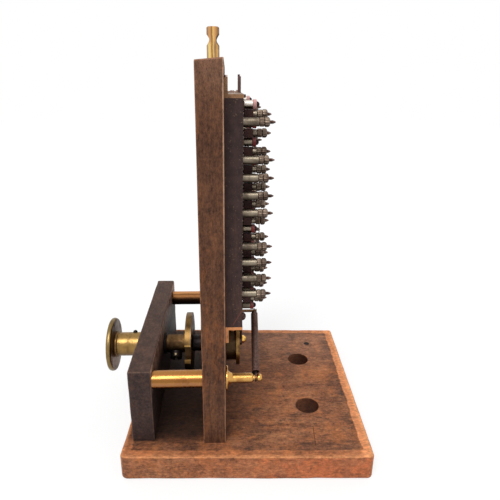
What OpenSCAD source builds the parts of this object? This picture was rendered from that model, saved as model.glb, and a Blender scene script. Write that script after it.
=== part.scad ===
// Signal box block switch: a knob on a faceplate turns a spindle that
// lifts and lowers a contact slide behind a tall upright board.
// X runs from the knob (-) to the terminals (+), Y runs across, Z is up.
// Heights named *_h are measured from the top of the baseboard.

/* [Baseboard] */
// Side of the square baseboard
base_side = 247.6; // [220:0.1:300]
// Thickness of the baseboard
base_t = 27; // [18:0.5:40]
// Radius of the baseboard's upright corners
base_corner_r = 4; // [1:0.5:10]
// How far the works stand out of square with the baseboard, in degrees
base_skew = 1.87; // [0:0.01:2.5]
// How far the baseboard's middle lies in front of the works' middle
base_shift = 1.9; // [0:0.1:4]
// Diameter of the two cable holes
cable_hole_d = 25.4; // [12:0.1:32]
// Distance of the cable holes from the baseboard's middle
cable_hole_x = 67.2; // [50:0.1:90]
// Distance between the cable holes' centres
cable_hole_gap = 93; // [60:0.5:120]

/* [Boards] */
// Height of the upright board
upright_h = 356; // [340:1:440]
// Width of the upright board
upright_w = 211.4; // [200:0.1:235]
// Thickness of the upright board
upright_t = 22.3; // [16:0.5:28]
// Height of the faceplate board
faceplate_h = 81; // [78:0.5:100]
// Width of the faceplate board
faceplate_w = 212; // [200:0.1:235]
// Thickness of the faceplate board
faceplate_t = 22.2; // [16:0.5:28]
// How far the faceplate sits off the works' middle
faceplate_shift = 5.5; // [0:0.1:7]
// Clear gap between the faceplate and the upright
board_gap = 49.1; // [45:0.1:70]

/* [Pillars and spring] */
// Diameter of the two brass pillars between the boards
pillar_d = 17.6; // [12:0.1:20]
// Distance between the pillars' centres
pillar_span = 183; // [170:1:188]
// Height of the pillars' centres
pillar_h = 66.5; // [60:0.5:70]
// Diameter of the spring post behind the near pillar
post_d = 9.6; // [7:0.1:12]
// Reach of the spring post from the upright's back to its neck
post_reach = 26.7; // [24:0.1:34]
// Outer diameter of the spring
spring_d = 7.7; // [6:0.1:9]
// Diameter of the spring's wire
spring_wire_d = 1.2; // [0.8:0.1:1.4]
// Pitch of the spring's close coils
spring_pitch = 1.72; // [1.6:0.01:2.4]

/* [Knob, spindle and cam] */
// Height of the spindle's axis
spindle_h = 51.8; // [48:0.1:56]
// Diameter of the spindle
spindle_d = 9.5; // [7:0.1:11]
// Radial running clearance of the spindle in its bushes
running_gap = 0.05; // [0.02:0.01:0.1]
// Diameter of the knob's disc
knob_d = 60.6; // [45:0.1:70]
// Thickness of the knob's disc
knob_t = 5.6; // [4:0.1:9]
// Length of the knob's hub
knob_hub_len = 33; // [25:0.1:45]
// Diameter of the knob's hub
knob_hub_d = 27; // [20:0.1:32]
// Diameter of the cam disc
cam_d = 71.5; // [56:0.5:76]
// Thickness of the cam disc
cam_t = 6.8; // [4:0.1:9]
// Diameter of the cam's hub
cam_hub_d = 21.2; // [17:0.1:26]
// Distance from the faceplate to the cam disc
cam_stand = 25.9; // [22:0.1:28]
// How far the knob turns each way, in degrees
turn = 40; // [20:1:45]

/* [Crank and slide] */
// Diameter of the crank disc
crank_d = 51.2; // [44:0.2:52]
// Thickness of the crank disc
crank_t = 4; // [3.5:0.1:6]
// Diameter of the boss behind the crank disc
crank_boss_d = 40; // [26:0.5:42]
// Length of the boss behind the crank disc
crank_boss_len = 11.2; // [9.5:0.1:11.5]
// Throw of the crank pin
crank_throw = 7; // [5:0.1:8]
// Diameter of the crank pin's shoulder
crank_pin_d = 5; // [4:0.1:6]
// Width of the slide bar
slide_w = 12; // [8:0.5:16]
// Thickness of the slide bar
slide_t = 2.9; // [2:0.1:3.2]
// Thickness of the crank link
link_t = 3.2; // [2:0.1:4]
// Clearance of the slide in its slots and groove, each side
slide_gap = 0.3; // [0.2:0.05:0.5]

/* [Terminal panel] */
// Width of the terminal panel
panel_w = 184; // [178:1:196]
// Height of the terminal panel
panel_h = 205; // [202:1:240]
// Thickness of the terminal panel
panel_t = 15.4; // [14:0.1:20]
// Height of the terminal panel's lower edge
panel_low_h = 122.9; // [118:0.1:125]
// Thickness of the brass angles above and below the panel
angle_t = 3; // [2:0.1:3.4]
// Height of the upper angle's leg
upper_leg = 15.6; // [12:0.1:20]
// Height of the lower angle's leg
lower_leg = 16.6; // [12:0.1:20]

/* [Terminals] */
// Pitch of the terminal rows
row_pitch = 15.785; // [15.5:0.005:16.2]
// How far the first row lies below the panel's upper edge
first_row_drop = 3.4; // [0:0.1:4]
// How far the inner rows lie below the outer rows
inner_drop = 2.2; // [1:0.1:4]
// Distance of the outer columns from the middle
outer_column = 77; // [74:0.5:84]
// Distance of the inner columns from the middle
inner_column = 65; // [60:0.5:67]
// Diameter of the outer terminals' pillars
terminal_d = 7.4; // [6:0.1:8]
// Length of the outer terminals' pillars
terminal_len = 14; // [10:0.1:18]
// Diameter of every terminal's stud
stud_d = 3.2; // [2.5:0.1:3.6]
// Side of the square insulating blocks
block_side = 7.2; // [5.5:0.1:7.4]
// Length of the insulating blocks and the contact sleeves
sleeve_len = 7.6; // [6:0.1:10]

/* [Top post] */
// Diameter of the brass post on top of the upright
eye_post_d = 12; // [10:0.1:16]
// Height of the brass post above the upright
eye_post_h = 32.5; // [26:0.5:40]
// Diameter of the hole through the post
eye_d = 9.9; // [6:0.1:10.5]

/* [Hidden] */
$fn = 64;

// Colours, as the photograph shows them
base_wood = "#96633f";
board_wood = "#6e4a35";
face_wood = "#5b4740";
panel_black = "#372b2e";
brass = "#c2963f";
aged_brass = "#94793c";
copper_brass = "#b9783f";
nickel = "#9c927d";
dark_steel = "#3d3335";
spring_steel = "#57433f";
red_fibre = "#8c2f2f";
maroon_fibre = "#4a2c29";

// Small clearances
fit_gap = 0.02;
face_gap = 0.3;
cut = 1;
// A length that passes right through the works
right_through = 200;

// Faces along X
upright_back = -25;
upright_front = upright_back - upright_t;
faceplate_back = upright_front - board_gap;
faceplate_front = faceplate_back - faceplate_t;
panel_face = upright_back + panel_t;
axis_z = base_t + spindle_h;

// A solid cylinder along +X from x, centred on y and z
module rod(x, len, d, y = 0, z = 0) {
    translate([x, y, z]) rotate([0, 90, 0]) cylinder(d = d, h = len);
}

// A turned piece along +X from an outline of [x, radius] points
module turned(points, y = 0, z = 0) {
    translate([0, y, z]) rotate([90, 0, 90])
        rotate_extrude() polygon([for (p = points) [p[1], p[0]]]);
}

// A countersunk screw along +X whose flat head's face is at x, enlarged by gap
module flush_screw(x, len, d, head_d, gap, y = 0, z = 0) {
    head_h = (head_d - d) / 2;
    turned([
        [x - gap, 0],
        [x - gap, head_d / 2 + 2 * gap],
        [x + head_h, d / 2 + gap],
        [x + len, d / 2 + gap],
        [x + len, 0]
    ], y, z);
}

// A rounded-corner board outline, centred
module rounded_square(side, r) {
    inner = side - 2 * r;
    square([side, inner], center = true);
    square([inner, side], center = true);
    for (x = [-1, 1], y = [-1, 1])
        translate([x * inner / 2, y * inner / 2]) circle(r);
}

// A round head along +X, with its flat side at x and a saw slot
module round_head(x, d, h, y = 0, z = 0, slot_angle = 0) {
    slot_w = d / 8;
    steps = 5;
    cap_r = (d * d / 4 + h * h) / (2 * h);
    edge = h > cap_r ? 90 : asin(d / 2 / cap_r);
    difference() {
        turned(concat([[x, 0]], [for (i = [steps:-1:0])
            let(a = edge * i / steps)
            [x + h - cap_r + cap_r * cos(a), cap_r * sin(a)]]), y, z);
        translate([x + h, y, z]) rotate([slot_angle, 0, 0])
            cube([h, slot_w, d + cut], center = true);
    }
}

/* Baseboard and its screws */
base_screw_shank_d = 4.4;
base_screw_head_d = 9;
base_screw_len = base_t + 16;
base_screw_inset = 0.4;
upright_screw_y = upright_w * 0.35;
faceplate_screw_y = faceplate_w * 0.33;
base_screw_places = [
    [upright_back - upright_t / 2, -upright_screw_y],
    [upright_back - upright_t / 2, upright_screw_y],
    [faceplate_back - faceplate_t / 2, faceplate_shift - faceplate_screw_y],
    [faceplate_back - faceplate_t / 2, faceplate_shift + faceplate_screw_y]
];

// One countersunk wood screw driven upwards, enlarged all round by gap
module wood_screw(gap) {
    head_h = (base_screw_head_d - base_screw_shank_d) / 2;
    rotate_extrude() polygon([
        [0, base_screw_inset - gap],
        [base_screw_head_d / 2 + gap, base_screw_inset - gap],
        [base_screw_shank_d / 2 + gap, base_screw_inset + head_h],
        [base_screw_shank_d / 2 + gap, base_screw_len],
        [0, base_screw_len + base_screw_shank_d / 2 + gap]
    ]);
}

module base_screw_set(gap) {
    for (p = base_screw_places) translate([p[0], p[1], 0]) wood_screw(gap);
}

module base_sink_holes() {
    for (p = base_screw_places)
        translate([p[0], p[1], -cut])
            cylinder(d = base_screw_head_d + 2 * fit_gap, h = cut + base_screw_inset);
}

module baseboard() {
    color(base_wood) difference() {
        translate([0, -base_shift, 0]) rotate([0, 0, -base_skew]) difference() {
            linear_extrude(base_t) rounded_square(base_side, base_corner_r);
            for (side = [-1, 1])
                translate([cable_hole_x, side * cable_hole_gap / 2, -cut])
                    cylinder(d = cable_hole_d, h = base_t + 2 * cut);
        }
        base_screw_set(fit_gap);
        base_sink_holes();
    }
}

module base_screws() {
    color(aged_brass) base_screw_set(0);
}

/* Boards */
front_screw_shank_d = 6;
front_screw_head_d = 13;
bush_d = 16;
near_y = -pillar_span / 2;
far_y = pillar_span / 2;
pillar_z = base_t + pillar_h;
angle_screw_d = 3.4;
angle_screw_grip = 12;
angle_screw_head_d = 6.2;
angle_screw_ys = [-panel_w * 0.39, -panel_w * 0.14, panel_w * 0.14, panel_w * 0.39];
panel_low_z = base_t + panel_low_h;
panel_top_z = panel_low_z + panel_h;
upper_wall_screw_z = panel_top_z + angle_t + (upper_leg - angle_t) * 0.5;
lower_wall_screw_z = panel_low_z - angle_t - (lower_leg - angle_t) * 0.55;
eye_shank_d = 7;
eye_shank_len = 26;
eye_x = upright_back - upright_t / 2 + 0.6;

module upright_board() {
    color(board_wood) difference() {
        translate([upright_front, -upright_w / 2, base_t])
            cube([upright_t, upright_w, upright_h]);
        base_screw_set(fit_gap);
        rod(upright_front - cut, upright_t + 2 * cut, bush_d + 2 * fit_gap, 0, axis_z);
        for (y = [near_y, far_y])
            rod(upright_front - cut, upright_t + 2 * cut, front_screw_shank_d + 2 * fit_gap,
                y, pillar_z);
        for (y = angle_screw_ys, z = [upper_wall_screw_z, lower_wall_screw_z])
            rod(upright_back - angle_screw_grip, angle_screw_grip + cut,
                angle_screw_d + 2 * fit_gap, y, z);
        translate([eye_x, 0, base_t + upright_h - eye_shank_len])
            cylinder(d = eye_shank_d + 2 * fit_gap, h = eye_shank_len + cut);
    }
}

front_bush_flange_d = 24;
front_bush_flange_t = 2.8;

module faceplate_board() {
    color(face_wood) difference() {
        translate([faceplate_front, faceplate_shift - faceplate_w / 2, base_t])
            cube([faceplate_t, faceplate_w, faceplate_h]);
        base_screw_set(fit_gap);
        rod(faceplate_front - cut, faceplate_t + 2 * cut, bush_d + 2 * fit_gap, 0, axis_z);
        for (y = [near_y, far_y])
            pillar_front_screw(y, fit_gap);
    }
}

/* Pillars, their fixings and the spring post */
pillar_thread_len = 18;
pillar_bore_len = pillar_thread_len + 2;

module pillar(y) {
    difference() {
        rod(faceplate_back, board_gap, pillar_d, y, pillar_z);
        rod(faceplate_back - cut, pillar_bore_len + cut, front_screw_shank_d + 2 * fit_gap,
            y, pillar_z);
        rod(upright_front - pillar_bore_len, pillar_bore_len + cut,
            front_screw_shank_d + 2 * fit_gap, y, pillar_z);
    }
}

module near_pillar() {
    color(brass) pillar(near_y);
}

module far_pillar() {
    color(brass) pillar(far_y);
}

module pillar_front_screw(y, gap) {
    flush_screw(faceplate_front, faceplate_t + pillar_thread_len, front_screw_shank_d,
        front_screw_head_d, gap, y, pillar_z);
}

module pillar_front_screws() {
    color(aged_brass) for (y = [near_y, far_y]) pillar_front_screw(y, 0);
}

post_flange_d = 25;
post_flange_t = 3.4;
post_neck_d = 5.4;
post_neck_len = 3.6;
post_ball_d = 7.5;
post_ball_len = 5.1;
post_neck_end = upright_back + post_reach + post_neck_len;

module spring_post() {
    neck_start = upright_back + post_reach;
    neck_end = neck_start + post_neck_len;
    color(brass) {
        turned([
            [upright_back, 0],
            [upright_back, post_flange_d / 2 - 1],
            [upright_back + 1, post_flange_d / 2],
            [upright_back + 1.6, post_flange_d / 2],
            [upright_back + post_flange_t * 0.7, post_d * 0.75],
            [upright_back + post_flange_t + 2, post_d / 2],
            [neck_start - 1.5, post_d / 2],
            [neck_start, post_d / 2 - 1],
            [neck_start, post_neck_d / 2],
            [neck_end, post_neck_d / 2],
            [neck_end, post_ball_d / 2 - 0.6],
            [neck_end + 1, post_ball_d / 2],
            [neck_end + post_ball_len - 2.2, post_ball_d / 2],
            [neck_end + post_ball_len - 0.6, post_ball_d / 2 - 1.2],
            [neck_end + post_ball_len, 0]
        ], near_y, pillar_z);
        rod(upright_front - pillar_thread_len, upright_t + pillar_thread_len,
            front_screw_shank_d, near_y, pillar_z);
    }
}

// A collared bolt with a hexagon head, into the far pillar's rear end
bolt_collar_d = 18;
bolt_collar_t = 1.6;
bolt_head_across = 14;
bolt_hex_t = 5.5;

module far_pillar_bolt() {
    color(brass) {
        rod(upright_back, bolt_collar_t, bolt_collar_d, far_y, pillar_z);
        translate([upright_back + bolt_collar_t, far_y, pillar_z]) rotate([0, 90, 0])
            cylinder(d = bolt_head_across, h = bolt_hex_t, $fn = 6);
        rod(upright_front - pillar_thread_len, upright_t + pillar_thread_len,
            front_screw_shank_d, far_y, pillar_z);
    }
}

/* Eye post on top of the upright */
module eye_post() {
    top_z = base_t + upright_h;
    chamfer = 0.8;
    color(brass) difference() {
        translate([eye_x, 0, 0]) rotate_extrude() polygon([
            [0, top_z - eye_shank_len],
            [eye_shank_d / 2, top_z - eye_shank_len],
            [eye_shank_d / 2, top_z],
            [eye_post_d / 2, top_z],
            [eye_post_d / 2, top_z + eye_post_h - chamfer],
            [eye_post_d / 2 - chamfer, top_z + eye_post_h],
            [0, top_z + eye_post_h]
        ]);
        rod(eye_x - eye_post_d, 2 * eye_post_d, eye_d, 0, top_z + eye_post_h * 0.65);
    }
}

/* Bushes that carry the spindle */
rear_bush_barrel_d = 18.4;
rear_bush_barrel = board_gap - cam_stand - cam_t - face_gap;

module spindle_bore() {
    rod(faceplate_front - knob_hub_len - knob_t - cut, right_through, spindle_d + 2 * running_gap,
        0, axis_z);
}

module front_bush() {
    color(dark_steel) difference() {
        union() {
            rod(faceplate_front, faceplate_t, bush_d, 0, axis_z);
            rod(faceplate_back, front_bush_flange_t, front_bush_flange_d, 0, axis_z);
        }
        spindle_bore();
    }
}

module rear_bush() {
    color(dark_steel) difference() {
        union() {
            rod(upright_front, upright_t, bush_d, 0, axis_z);
            rod(upright_front - rear_bush_barrel, rear_bush_barrel, rear_bush_barrel_d,
                0, axis_z);
        }
        spindle_bore();
    }
}

/* Rows and columns of terminals */
first_row_z = panel_top_z - first_row_drop;
outer_rows = [1, 3, 4, 5, 6, 8, 9, 10, 11];
contact_rows = [0:12];
block_rows = [0:11];
seat_t = 0.8;
finger_t = 0.6;
terminal_grip = 9;

function outer_z(row) = first_row_z - row * row_pitch;
function contact_z(row) = outer_z(row) - inner_drop;
function block_z(row) = contact_z(row) - row_pitch / 2;

module at_outer_terminals() {
    for (side = [-1, 1], row = outer_rows)
        translate([panel_face, side * outer_column, outer_z(row)]) children();
}

module at_blocks() {
    for (side = [-1, 1], row = block_rows)
        translate([panel_face, side * inner_column, block_z(row)]) children();
}

module at_contacts() {
    for (side = [-1, 1], row = contact_rows)
        translate([panel_face, side * inner_column, contact_z(row)]) children();
}

/* Slide: a bar in the panel's groove, joined to the crank by a link */
crank_face = upright_back + face_gap + crank_boss_len + crank_t;
slide_drop_room = 5.2;
slide_face = crank_face + face_gap;
slide_back = slide_face - slide_t;
groove_w = slide_w + 2 * slide_gap;
groove_depth = panel_face - slide_back + slide_gap;
slide_low_z = axis_z + crank_d / 2 + slide_drop_room;
slide_top_z = panel_top_z + angle_t + upper_leg - 1;
link_screw_z = slide_low_z + 3.6;
spring_stud_z = link_screw_z + 6.8;
link_screw_d = 4;
spring_stud_d = 3.3;

module slide_slot(z, h) {
    translate([slide_back - slide_gap, -groove_w / 2, z])
        cube([slide_t + 2 * slide_gap, groove_w, h]);
}

/* Terminal panel and the angles that hold it */
module terminal_panel() {
    color(panel_black) difference() {
        translate([upright_back, -panel_w / 2, panel_low_z]) cube([panel_t, panel_w, panel_h]);
        translate([panel_face - groove_depth, -groove_w / 2, panel_low_z - cut])
            cube([groove_depth + cut, groove_w, panel_h + 2 * cut]);
        at_outer_terminals() rod(-terminal_grip, terminal_grip + cut, stud_d + 2 * fit_gap);
        at_blocks() rod(-terminal_grip, terminal_grip + cut, stud_d + 2 * fit_gap);
        at_contacts() rod(-terminal_grip, terminal_grip + cut, stud_d + 2 * fit_gap);
        angle_panel_screw_set(fit_gap);
    }
}

flange_lip = 0.7;
angle_reach = panel_t + flange_lip;
panel_screw_depth = 7;
panel_screw_x = upright_back + panel_screw_depth;
panel_screw_grip = 11;
panel_screw_inset = 4;
panel_screw_y = panel_w / 2 - panel_screw_inset;
panel_screw_ys = [-panel_screw_y, -panel_screw_y / 2, panel_screw_y / 2, panel_screw_y];

// Screws through both angles into the panel's ends, flush on top
module angle_panel_screw_set(gap) {
    for (y = panel_screw_ys) {
        translate([panel_screw_x, y, panel_top_z + angle_t]) rotate([0, 90, 0])
            flush_screw(0, panel_screw_grip + angle_t, angle_screw_d,
                angle_screw_head_d, gap);
        translate([panel_screw_x, y, panel_low_z - angle_t - gap])
            cylinder(d = angle_screw_d + 2 * gap, h = panel_screw_grip + angle_t + gap);
    }
}

// Screws through an angle's leg into the upright, flush with the leg
module angle_wall_screw_set(z, gap) {
    for (y = angle_screw_ys)
        translate([upright_back + angle_t, y, z]) mirror([1, 0, 0])
            flush_screw(0, angle_screw_grip + angle_t, angle_screw_d,
                angle_screw_head_d, gap);
}

module upper_angle() {
    color(copper_brass) difference() {
        union() {
            translate([upright_back, -panel_w / 2, panel_top_z])
                cube([angle_reach, panel_w, angle_t]);
            translate([upright_back, -panel_w / 2, panel_top_z])
                cube([angle_t, panel_w, upper_leg]);
        }
        slide_slot(panel_top_z - cut, angle_t + 2 * cut);
        angle_wall_screw_set(upper_wall_screw_z, fit_gap);
        angle_panel_screw_set(fit_gap);
        angle_edge_screw_set(fit_gap);
        angle_top_screw_set(fit_gap);
        keeper_screw(fit_gap);
    }
}

module lower_angle() {
    color(copper_brass) difference() {
        union() {
            translate([upright_back, -panel_w / 2, panel_low_z - angle_t])
                cube([angle_reach, panel_w, angle_t]);
            translate([upright_back, -panel_w / 2, panel_low_z - lower_leg])
                cube([angle_t, panel_w, lower_leg]);
        }
        slide_slot(panel_low_z - angle_t - cut, angle_t + 2 * cut);
        angle_wall_screw_set(lower_wall_screw_z, fit_gap);
        angle_panel_screw_set(fit_gap);
    }
}

module angle_wall_screws() {
    color(aged_brass) for (z = [upper_wall_screw_z, lower_wall_screw_z])
        angle_wall_screw_set(z, 0);
}

module angle_panel_screws() {
    head_d = 6;
    head_h = 3;
    color(copper_brass) {
        angle_panel_screw_set(0);
        for (y = panel_screw_ys)
            translate([panel_screw_x, y, panel_low_z - angle_t]) rotate([0, 90, 0])
                round_head(0, head_d, head_h, 0, 0, y);
    }
}

// Small screws in the edge of the upper angle
edge_screw_d = 1.6;
edge_screw_grip = 3.5;

module angle_edge_screw_set(gap) {
    for (side = [-1, 1])
        rod(upright_back + angle_reach - edge_screw_grip, edge_screw_grip + gap,
            edge_screw_d + 2 * gap, side * (panel_w / 2 - 3), panel_top_z + angle_t / 2);
}

module angle_edge_screws() {
    head_d = 2.8;
    head_h = 1.3;
    color(dark_steel) {
        angle_edge_screw_set(0);
        for (side = [-1, 1])
            rod(upright_back + angle_reach, head_h, head_d, side * (panel_w / 2 - 3),
                panel_top_z + angle_t / 2);
    }
}

// A small stop screw on top of the upper angle's leg, at each end
top_screw_d = 1.6;
top_screw_grip = 5;

module angle_top_screw_set(gap) {
    for (side = [-1, 1])
        translate([upright_back + angle_t / 2, side * (panel_w / 2 - 4),
            panel_top_z + upper_leg - top_screw_grip])
            cylinder(d = top_screw_d + 2 * gap, h = top_screw_grip + gap);
}

module angle_top_screws() {
    color(dark_steel) {
        angle_top_screw_set(0);
        for (side = [-1, 1])
            translate([upright_back + angle_t / 2, side * (panel_w / 2 - 4),
                panel_top_z + upper_leg])
                cylinder(d = 2.8, h = 1.6);
    }
}

// Steel keeper on the upper angle that the slide's head runs against
keeper_t = 1.2;
keeper_foot = 8;
keeper_w = 16;
keeper_h = 2.2;
keeper_head_d = 3.6;
keeper_head_h = 0.6;
keeper_x = slide_back - slide_gap - keeper_t;
keeper_z = panel_top_z + angle_t;
keeper_screw_x = keeper_x - keeper_foot * 0.5;

module keeper_screw(gap) {
    translate([keeper_screw_x, 0, panel_top_z + 0.4])
        cylinder(d = 2 + 2 * gap, h = angle_t + keeper_t + gap);
}

module slide_keeper() {
    color(dark_steel) {
        translate([keeper_x, -keeper_w / 2, keeper_z]) cube([keeper_t, keeper_w, keeper_h]);
        translate([keeper_x - keeper_foot, -keeper_w / 2, keeper_z])
            cube([keeper_foot, keeper_w, keeper_t]);
        keeper_screw(0);
        translate([keeper_screw_x, 0, keeper_z + keeper_t])
            cylinder(d = keeper_head_d, h = keeper_head_h);
    }
}

/* Outer terminals: nickelled pillars with a stud and two nuts */
lock_nut_t = 4.2;
clamp_nut_t = 4.4;
nut_gap = 0.2;
lock_nut_d = 7.8;
clamp_nut_d = 8.4;
stud_tip = 4.8;
stud_out = terminal_len + lock_nut_t + clamp_nut_t + 2 * nut_gap;

module pointed_stud(out) {
    turned([
        [-terminal_grip, 0],
        [-terminal_grip, stud_d / 2],
        [out + stud_tip * 0.45, stud_d / 2],
        [out + stud_tip, 0.5],
        [out + stud_tip, 0]
    ]);
}

module ring(x, len, outer, inner) {
    turned([[x, inner / 2], [x, outer / 2], [x + len, outer / 2], [x + len, inner / 2]]);
}

module outer_pillars() {
    color(nickel) at_outer_terminals() ring(0, terminal_len, terminal_d, stud_d + 2 * fit_gap);
}

module outer_studs() {
    color(nickel) at_outer_terminals() pointed_stud(stud_out);
}

module outer_lock_nuts() {
    color(nickel) at_outer_terminals()
        ring(terminal_len + nut_gap, lock_nut_t, lock_nut_d, stud_d + 2 * fit_gap);
}

module outer_clamp_nuts() {
    color(nickel) at_outer_terminals()
        ring(terminal_len + lock_nut_t + 2 * nut_gap, clamp_nut_t, clamp_nut_d,
            stud_d + 2 * fit_gap);
}

/* Inner terminals: a square insulating block, a collar, a stud and two nuts */
block_stand = 1.6;
collar_len = 3.6;
collar_d = 6.4;
inner_nut_t = 4.3;
inner_nut_d = 7.6;
inner_out = block_stand + sleeve_len + collar_len + 2 * inner_nut_t + 2 * nut_gap;

module insulating_blocks() {
    color(maroon_fibre) at_blocks() difference() {
        translate([block_stand, -block_side / 2, -block_side / 2])
            cube([sleeve_len, block_side, block_side]);
        rod(0, block_stand + sleeve_len + cut, stud_d + 2 * fit_gap);
    }
}

module inner_collars() {
    color(nickel) at_blocks() {
        ring(0, block_stand, collar_d - 1, stud_d + 2 * fit_gap);
        ring(block_stand + sleeve_len, collar_len, collar_d, stud_d + 2 * fit_gap);
    }
}

module inner_studs() {
    color(nickel) at_blocks() pointed_stud(inner_out - stud_tip * 0.3);
}

module inner_lock_nuts() {
    color(nickel) at_blocks()
        ring(block_stand + sleeve_len + collar_len + nut_gap, inner_nut_t, inner_nut_d,
            stud_d + 2 * fit_gap);
}

module inner_clamp_nuts() {
    color(nickel) at_blocks()
        ring(block_stand + sleeve_len + collar_len + inner_nut_t + 2 * nut_gap,
            inner_nut_t, inner_nut_d + 0.6, stud_d + 2 * fit_gap);
}

/* Fixed contacts: a finger that wipes the slide, clamped by an insulated bolt */
finger_w = 6;
segment_pad_t = 0.8;
segment_t = 1.2;
segment_margin = 1;
segment_w = slide_w - 2 * segment_margin;
segment_h = 6;
finger_tip_y = segment_w / 2;
segment_face = slide_face + segment_pad_t + segment_t;
finger_tip_x = segment_face + face_gap;
contact_sleeve_d = 7;
washer_gap = 0.14;
washer_t = 3.2;
washer_d = row_pitch - block_side - 2 * washer_gap;
bolt_head_d = 5.2;
bolt_head_t = 2.6;
sleeve_start = seat_t + finger_t;

module contact_seats() {
    color(red_fibre) at_contacts() ring(0, seat_t, contact_sleeve_d + 1, stud_d + 2 * fit_gap);
}

// One finger from the bolt at +y towards the middle, seen along Z
module finger(side, z) {
    rise = finger_tip_x - panel_face - seat_t;
    y_bolt = inner_column;
    bend_out = finger_tip_y + 12;
    bend_in = bend_out + rise * 2;
    pad_r = contact_sleeve_d / 2;
    translate([panel_face + seat_t, 0, z - finger_w / 2]) mirror([0, side < 0 ? 1 : 0, 0])
        difference() {
            linear_extrude(finger_w) polygon([
                [0, y_bolt + pad_r],
                [finger_t, y_bolt + pad_r],
                [finger_t, bend_in],
                [rise + finger_t, bend_out],
                [rise + finger_t, finger_tip_y],
                [rise, finger_tip_y],
                [rise, bend_out],
                [0, bend_in]
            ]);
            rod(-cut, finger_t + 2 * cut, stud_d + 2 * fit_gap, y_bolt, finger_w / 2);
        }
}

module contact_fingers() {
    color(brass) for (side = [-1, 1], row = contact_rows) finger(side, contact_z(row));
}

module contact_sleeves() {
    color(nickel) at_contacts()
        ring(sleeve_start, sleeve_len, contact_sleeve_d, stud_d + 2 * fit_gap);
}

module fibre_washers() {
    color(red_fibre) at_contacts()
        ring(sleeve_start + sleeve_len, washer_t, washer_d, stud_d + 2 * fit_gap);
}

module contact_bolts() {
    head_x = sleeve_start + sleeve_len + washer_t;
    color(dark_steel) at_contacts() {
        rod(-terminal_grip, terminal_grip + head_x, stud_d);
        round_head(head_x, bolt_head_d, bolt_head_t);
    }
}

// A bare wire between the lock nuts of two outer terminals on the near side
wire_d = 0.9;
wire_from_row = 6;
wire_to_row = 8;

module jumper_wire() {
    x = panel_face + terminal_len + nut_gap + lock_nut_t / 4;
    high = outer_z(wire_from_row) - lock_nut_d / 2;
    low = outer_z(wire_to_row) + lock_nut_d / 2;
    color(brass) translate([x, -outer_column, low]) cylinder(d = wire_d, h = high - low);
}

/* Spindle, knob and cam */
knob_front = faceplate_front - face_gap - knob_hub_len - knob_t;
knob_back = knob_front + knob_t;
knob_hub_end = knob_back + knob_hub_len;
cam_front = faceplate_back + cam_stand;
cam_hub_start = faceplate_back + front_bush_flange_t + face_gap;
knob_cover = 2.5;
spindle_inset = 0.4;
spindle_start = knob_front + knob_cover;
spindle_end = crank_face - spindle_inset;
knob_pin_from_disc = 21.4;
knob_pin_x = knob_back + knob_pin_from_disc;
knob_pin_d = 3;
knob_pin_lean = 20;

module spindle() {
    color(dark_steel) difference() {
        spindle_form(spindle_end, 0);
        knob_pin_bore(fit_gap);
        cam_clamp_shank(fit_gap);
    }
}

// A frame at the spindle's axis with +Z along the knob's pin
module knob_pin_place() {
    translate([knob_pin_x, 0, axis_z]) rotate([-knob_pin_lean, 0, 0]) children();
}

module knob_pin_bore(gap) {
    half = knob_hub_d / 2 + gap;
    knob_pin_place() translate([0, 0, -half])
        cylinder(d = knob_pin_d + 2 * gap, h = 2 * half);
}

module knob() {
    hub_ring_d = knob_hub_d + 3;
    hub_ring = 3;
    bore_d = spindle_d + 2 * fit_gap;
    color(aged_brass) difference() {
        turned([
            [knob_front, 0],
            [knob_front, knob_d / 2 - 1],
            [knob_front + 1, knob_d / 2],
            [knob_back - 1, knob_d / 2],
            [knob_back, knob_d / 2 - 1],
            [knob_back, hub_ring_d / 2],
            [knob_back + hub_ring - 1, hub_ring_d / 2],
            [knob_back + hub_ring, knob_hub_d / 2 + 0.6],
            [knob_back + hub_ring + 1, knob_hub_d / 2],
            [knob_hub_end, knob_hub_d / 2],
            [knob_hub_end, 0]
        ], 0, axis_z);
        rod(spindle_start, knob_hub_end - spindle_start + cut, bore_d, 0, axis_z);
        knob_pin_bore(fit_gap);
    }
}

module knob_pin() {
    head_d = 5.2;
    head_h = 2.6;
    color(dark_steel) {
        knob_pin_bore(0);
        for (flip = [0, 180])
            knob_pin_place() rotate([flip, 0, 0]) translate([0, 0, knob_hub_d / 2])
                rotate([0, -90, 0]) round_head(0, head_d, head_h);
    }
}

cam_rivet_d = 3;
cam_rivet_circle = 16;
cam_rivet_grip = 6;
cam_clamp_from_disc = 11.9;
cam_clamp_x = cam_front - cam_clamp_from_disc;
cam_clamp_drop = 40;
cam_clamp_d = 5;
cam_clamp_bite = 1.5;

// A frame at the hub's middle with +Z pointing out along the clamp screw
module cam_clamp_place() {
    translate([cam_clamp_x, 0, axis_z]) rotate([90 + cam_clamp_drop, 0, 0]) children();
}

module cam_clamp_shank(gap) {
    cam_clamp_place() translate([0, 0, spindle_d / 2 - cam_clamp_bite])
        cylinder(d = cam_clamp_d + 2 * gap, h = (cam_hub_d - spindle_d) / 2 + cam_clamp_bite + gap);
}

module cam_hub() {
    color(brass) difference() {
        rod(cam_hub_start, cam_front - cam_hub_start, cam_hub_d, 0, axis_z);
        spindle_seat();
        cam_clamp_shank(fit_gap);
        cam_rivet_set(fit_gap);
    }
}

module spindle_seat() {
    spindle_form(spindle_start + right_through, fit_gap);
}

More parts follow.
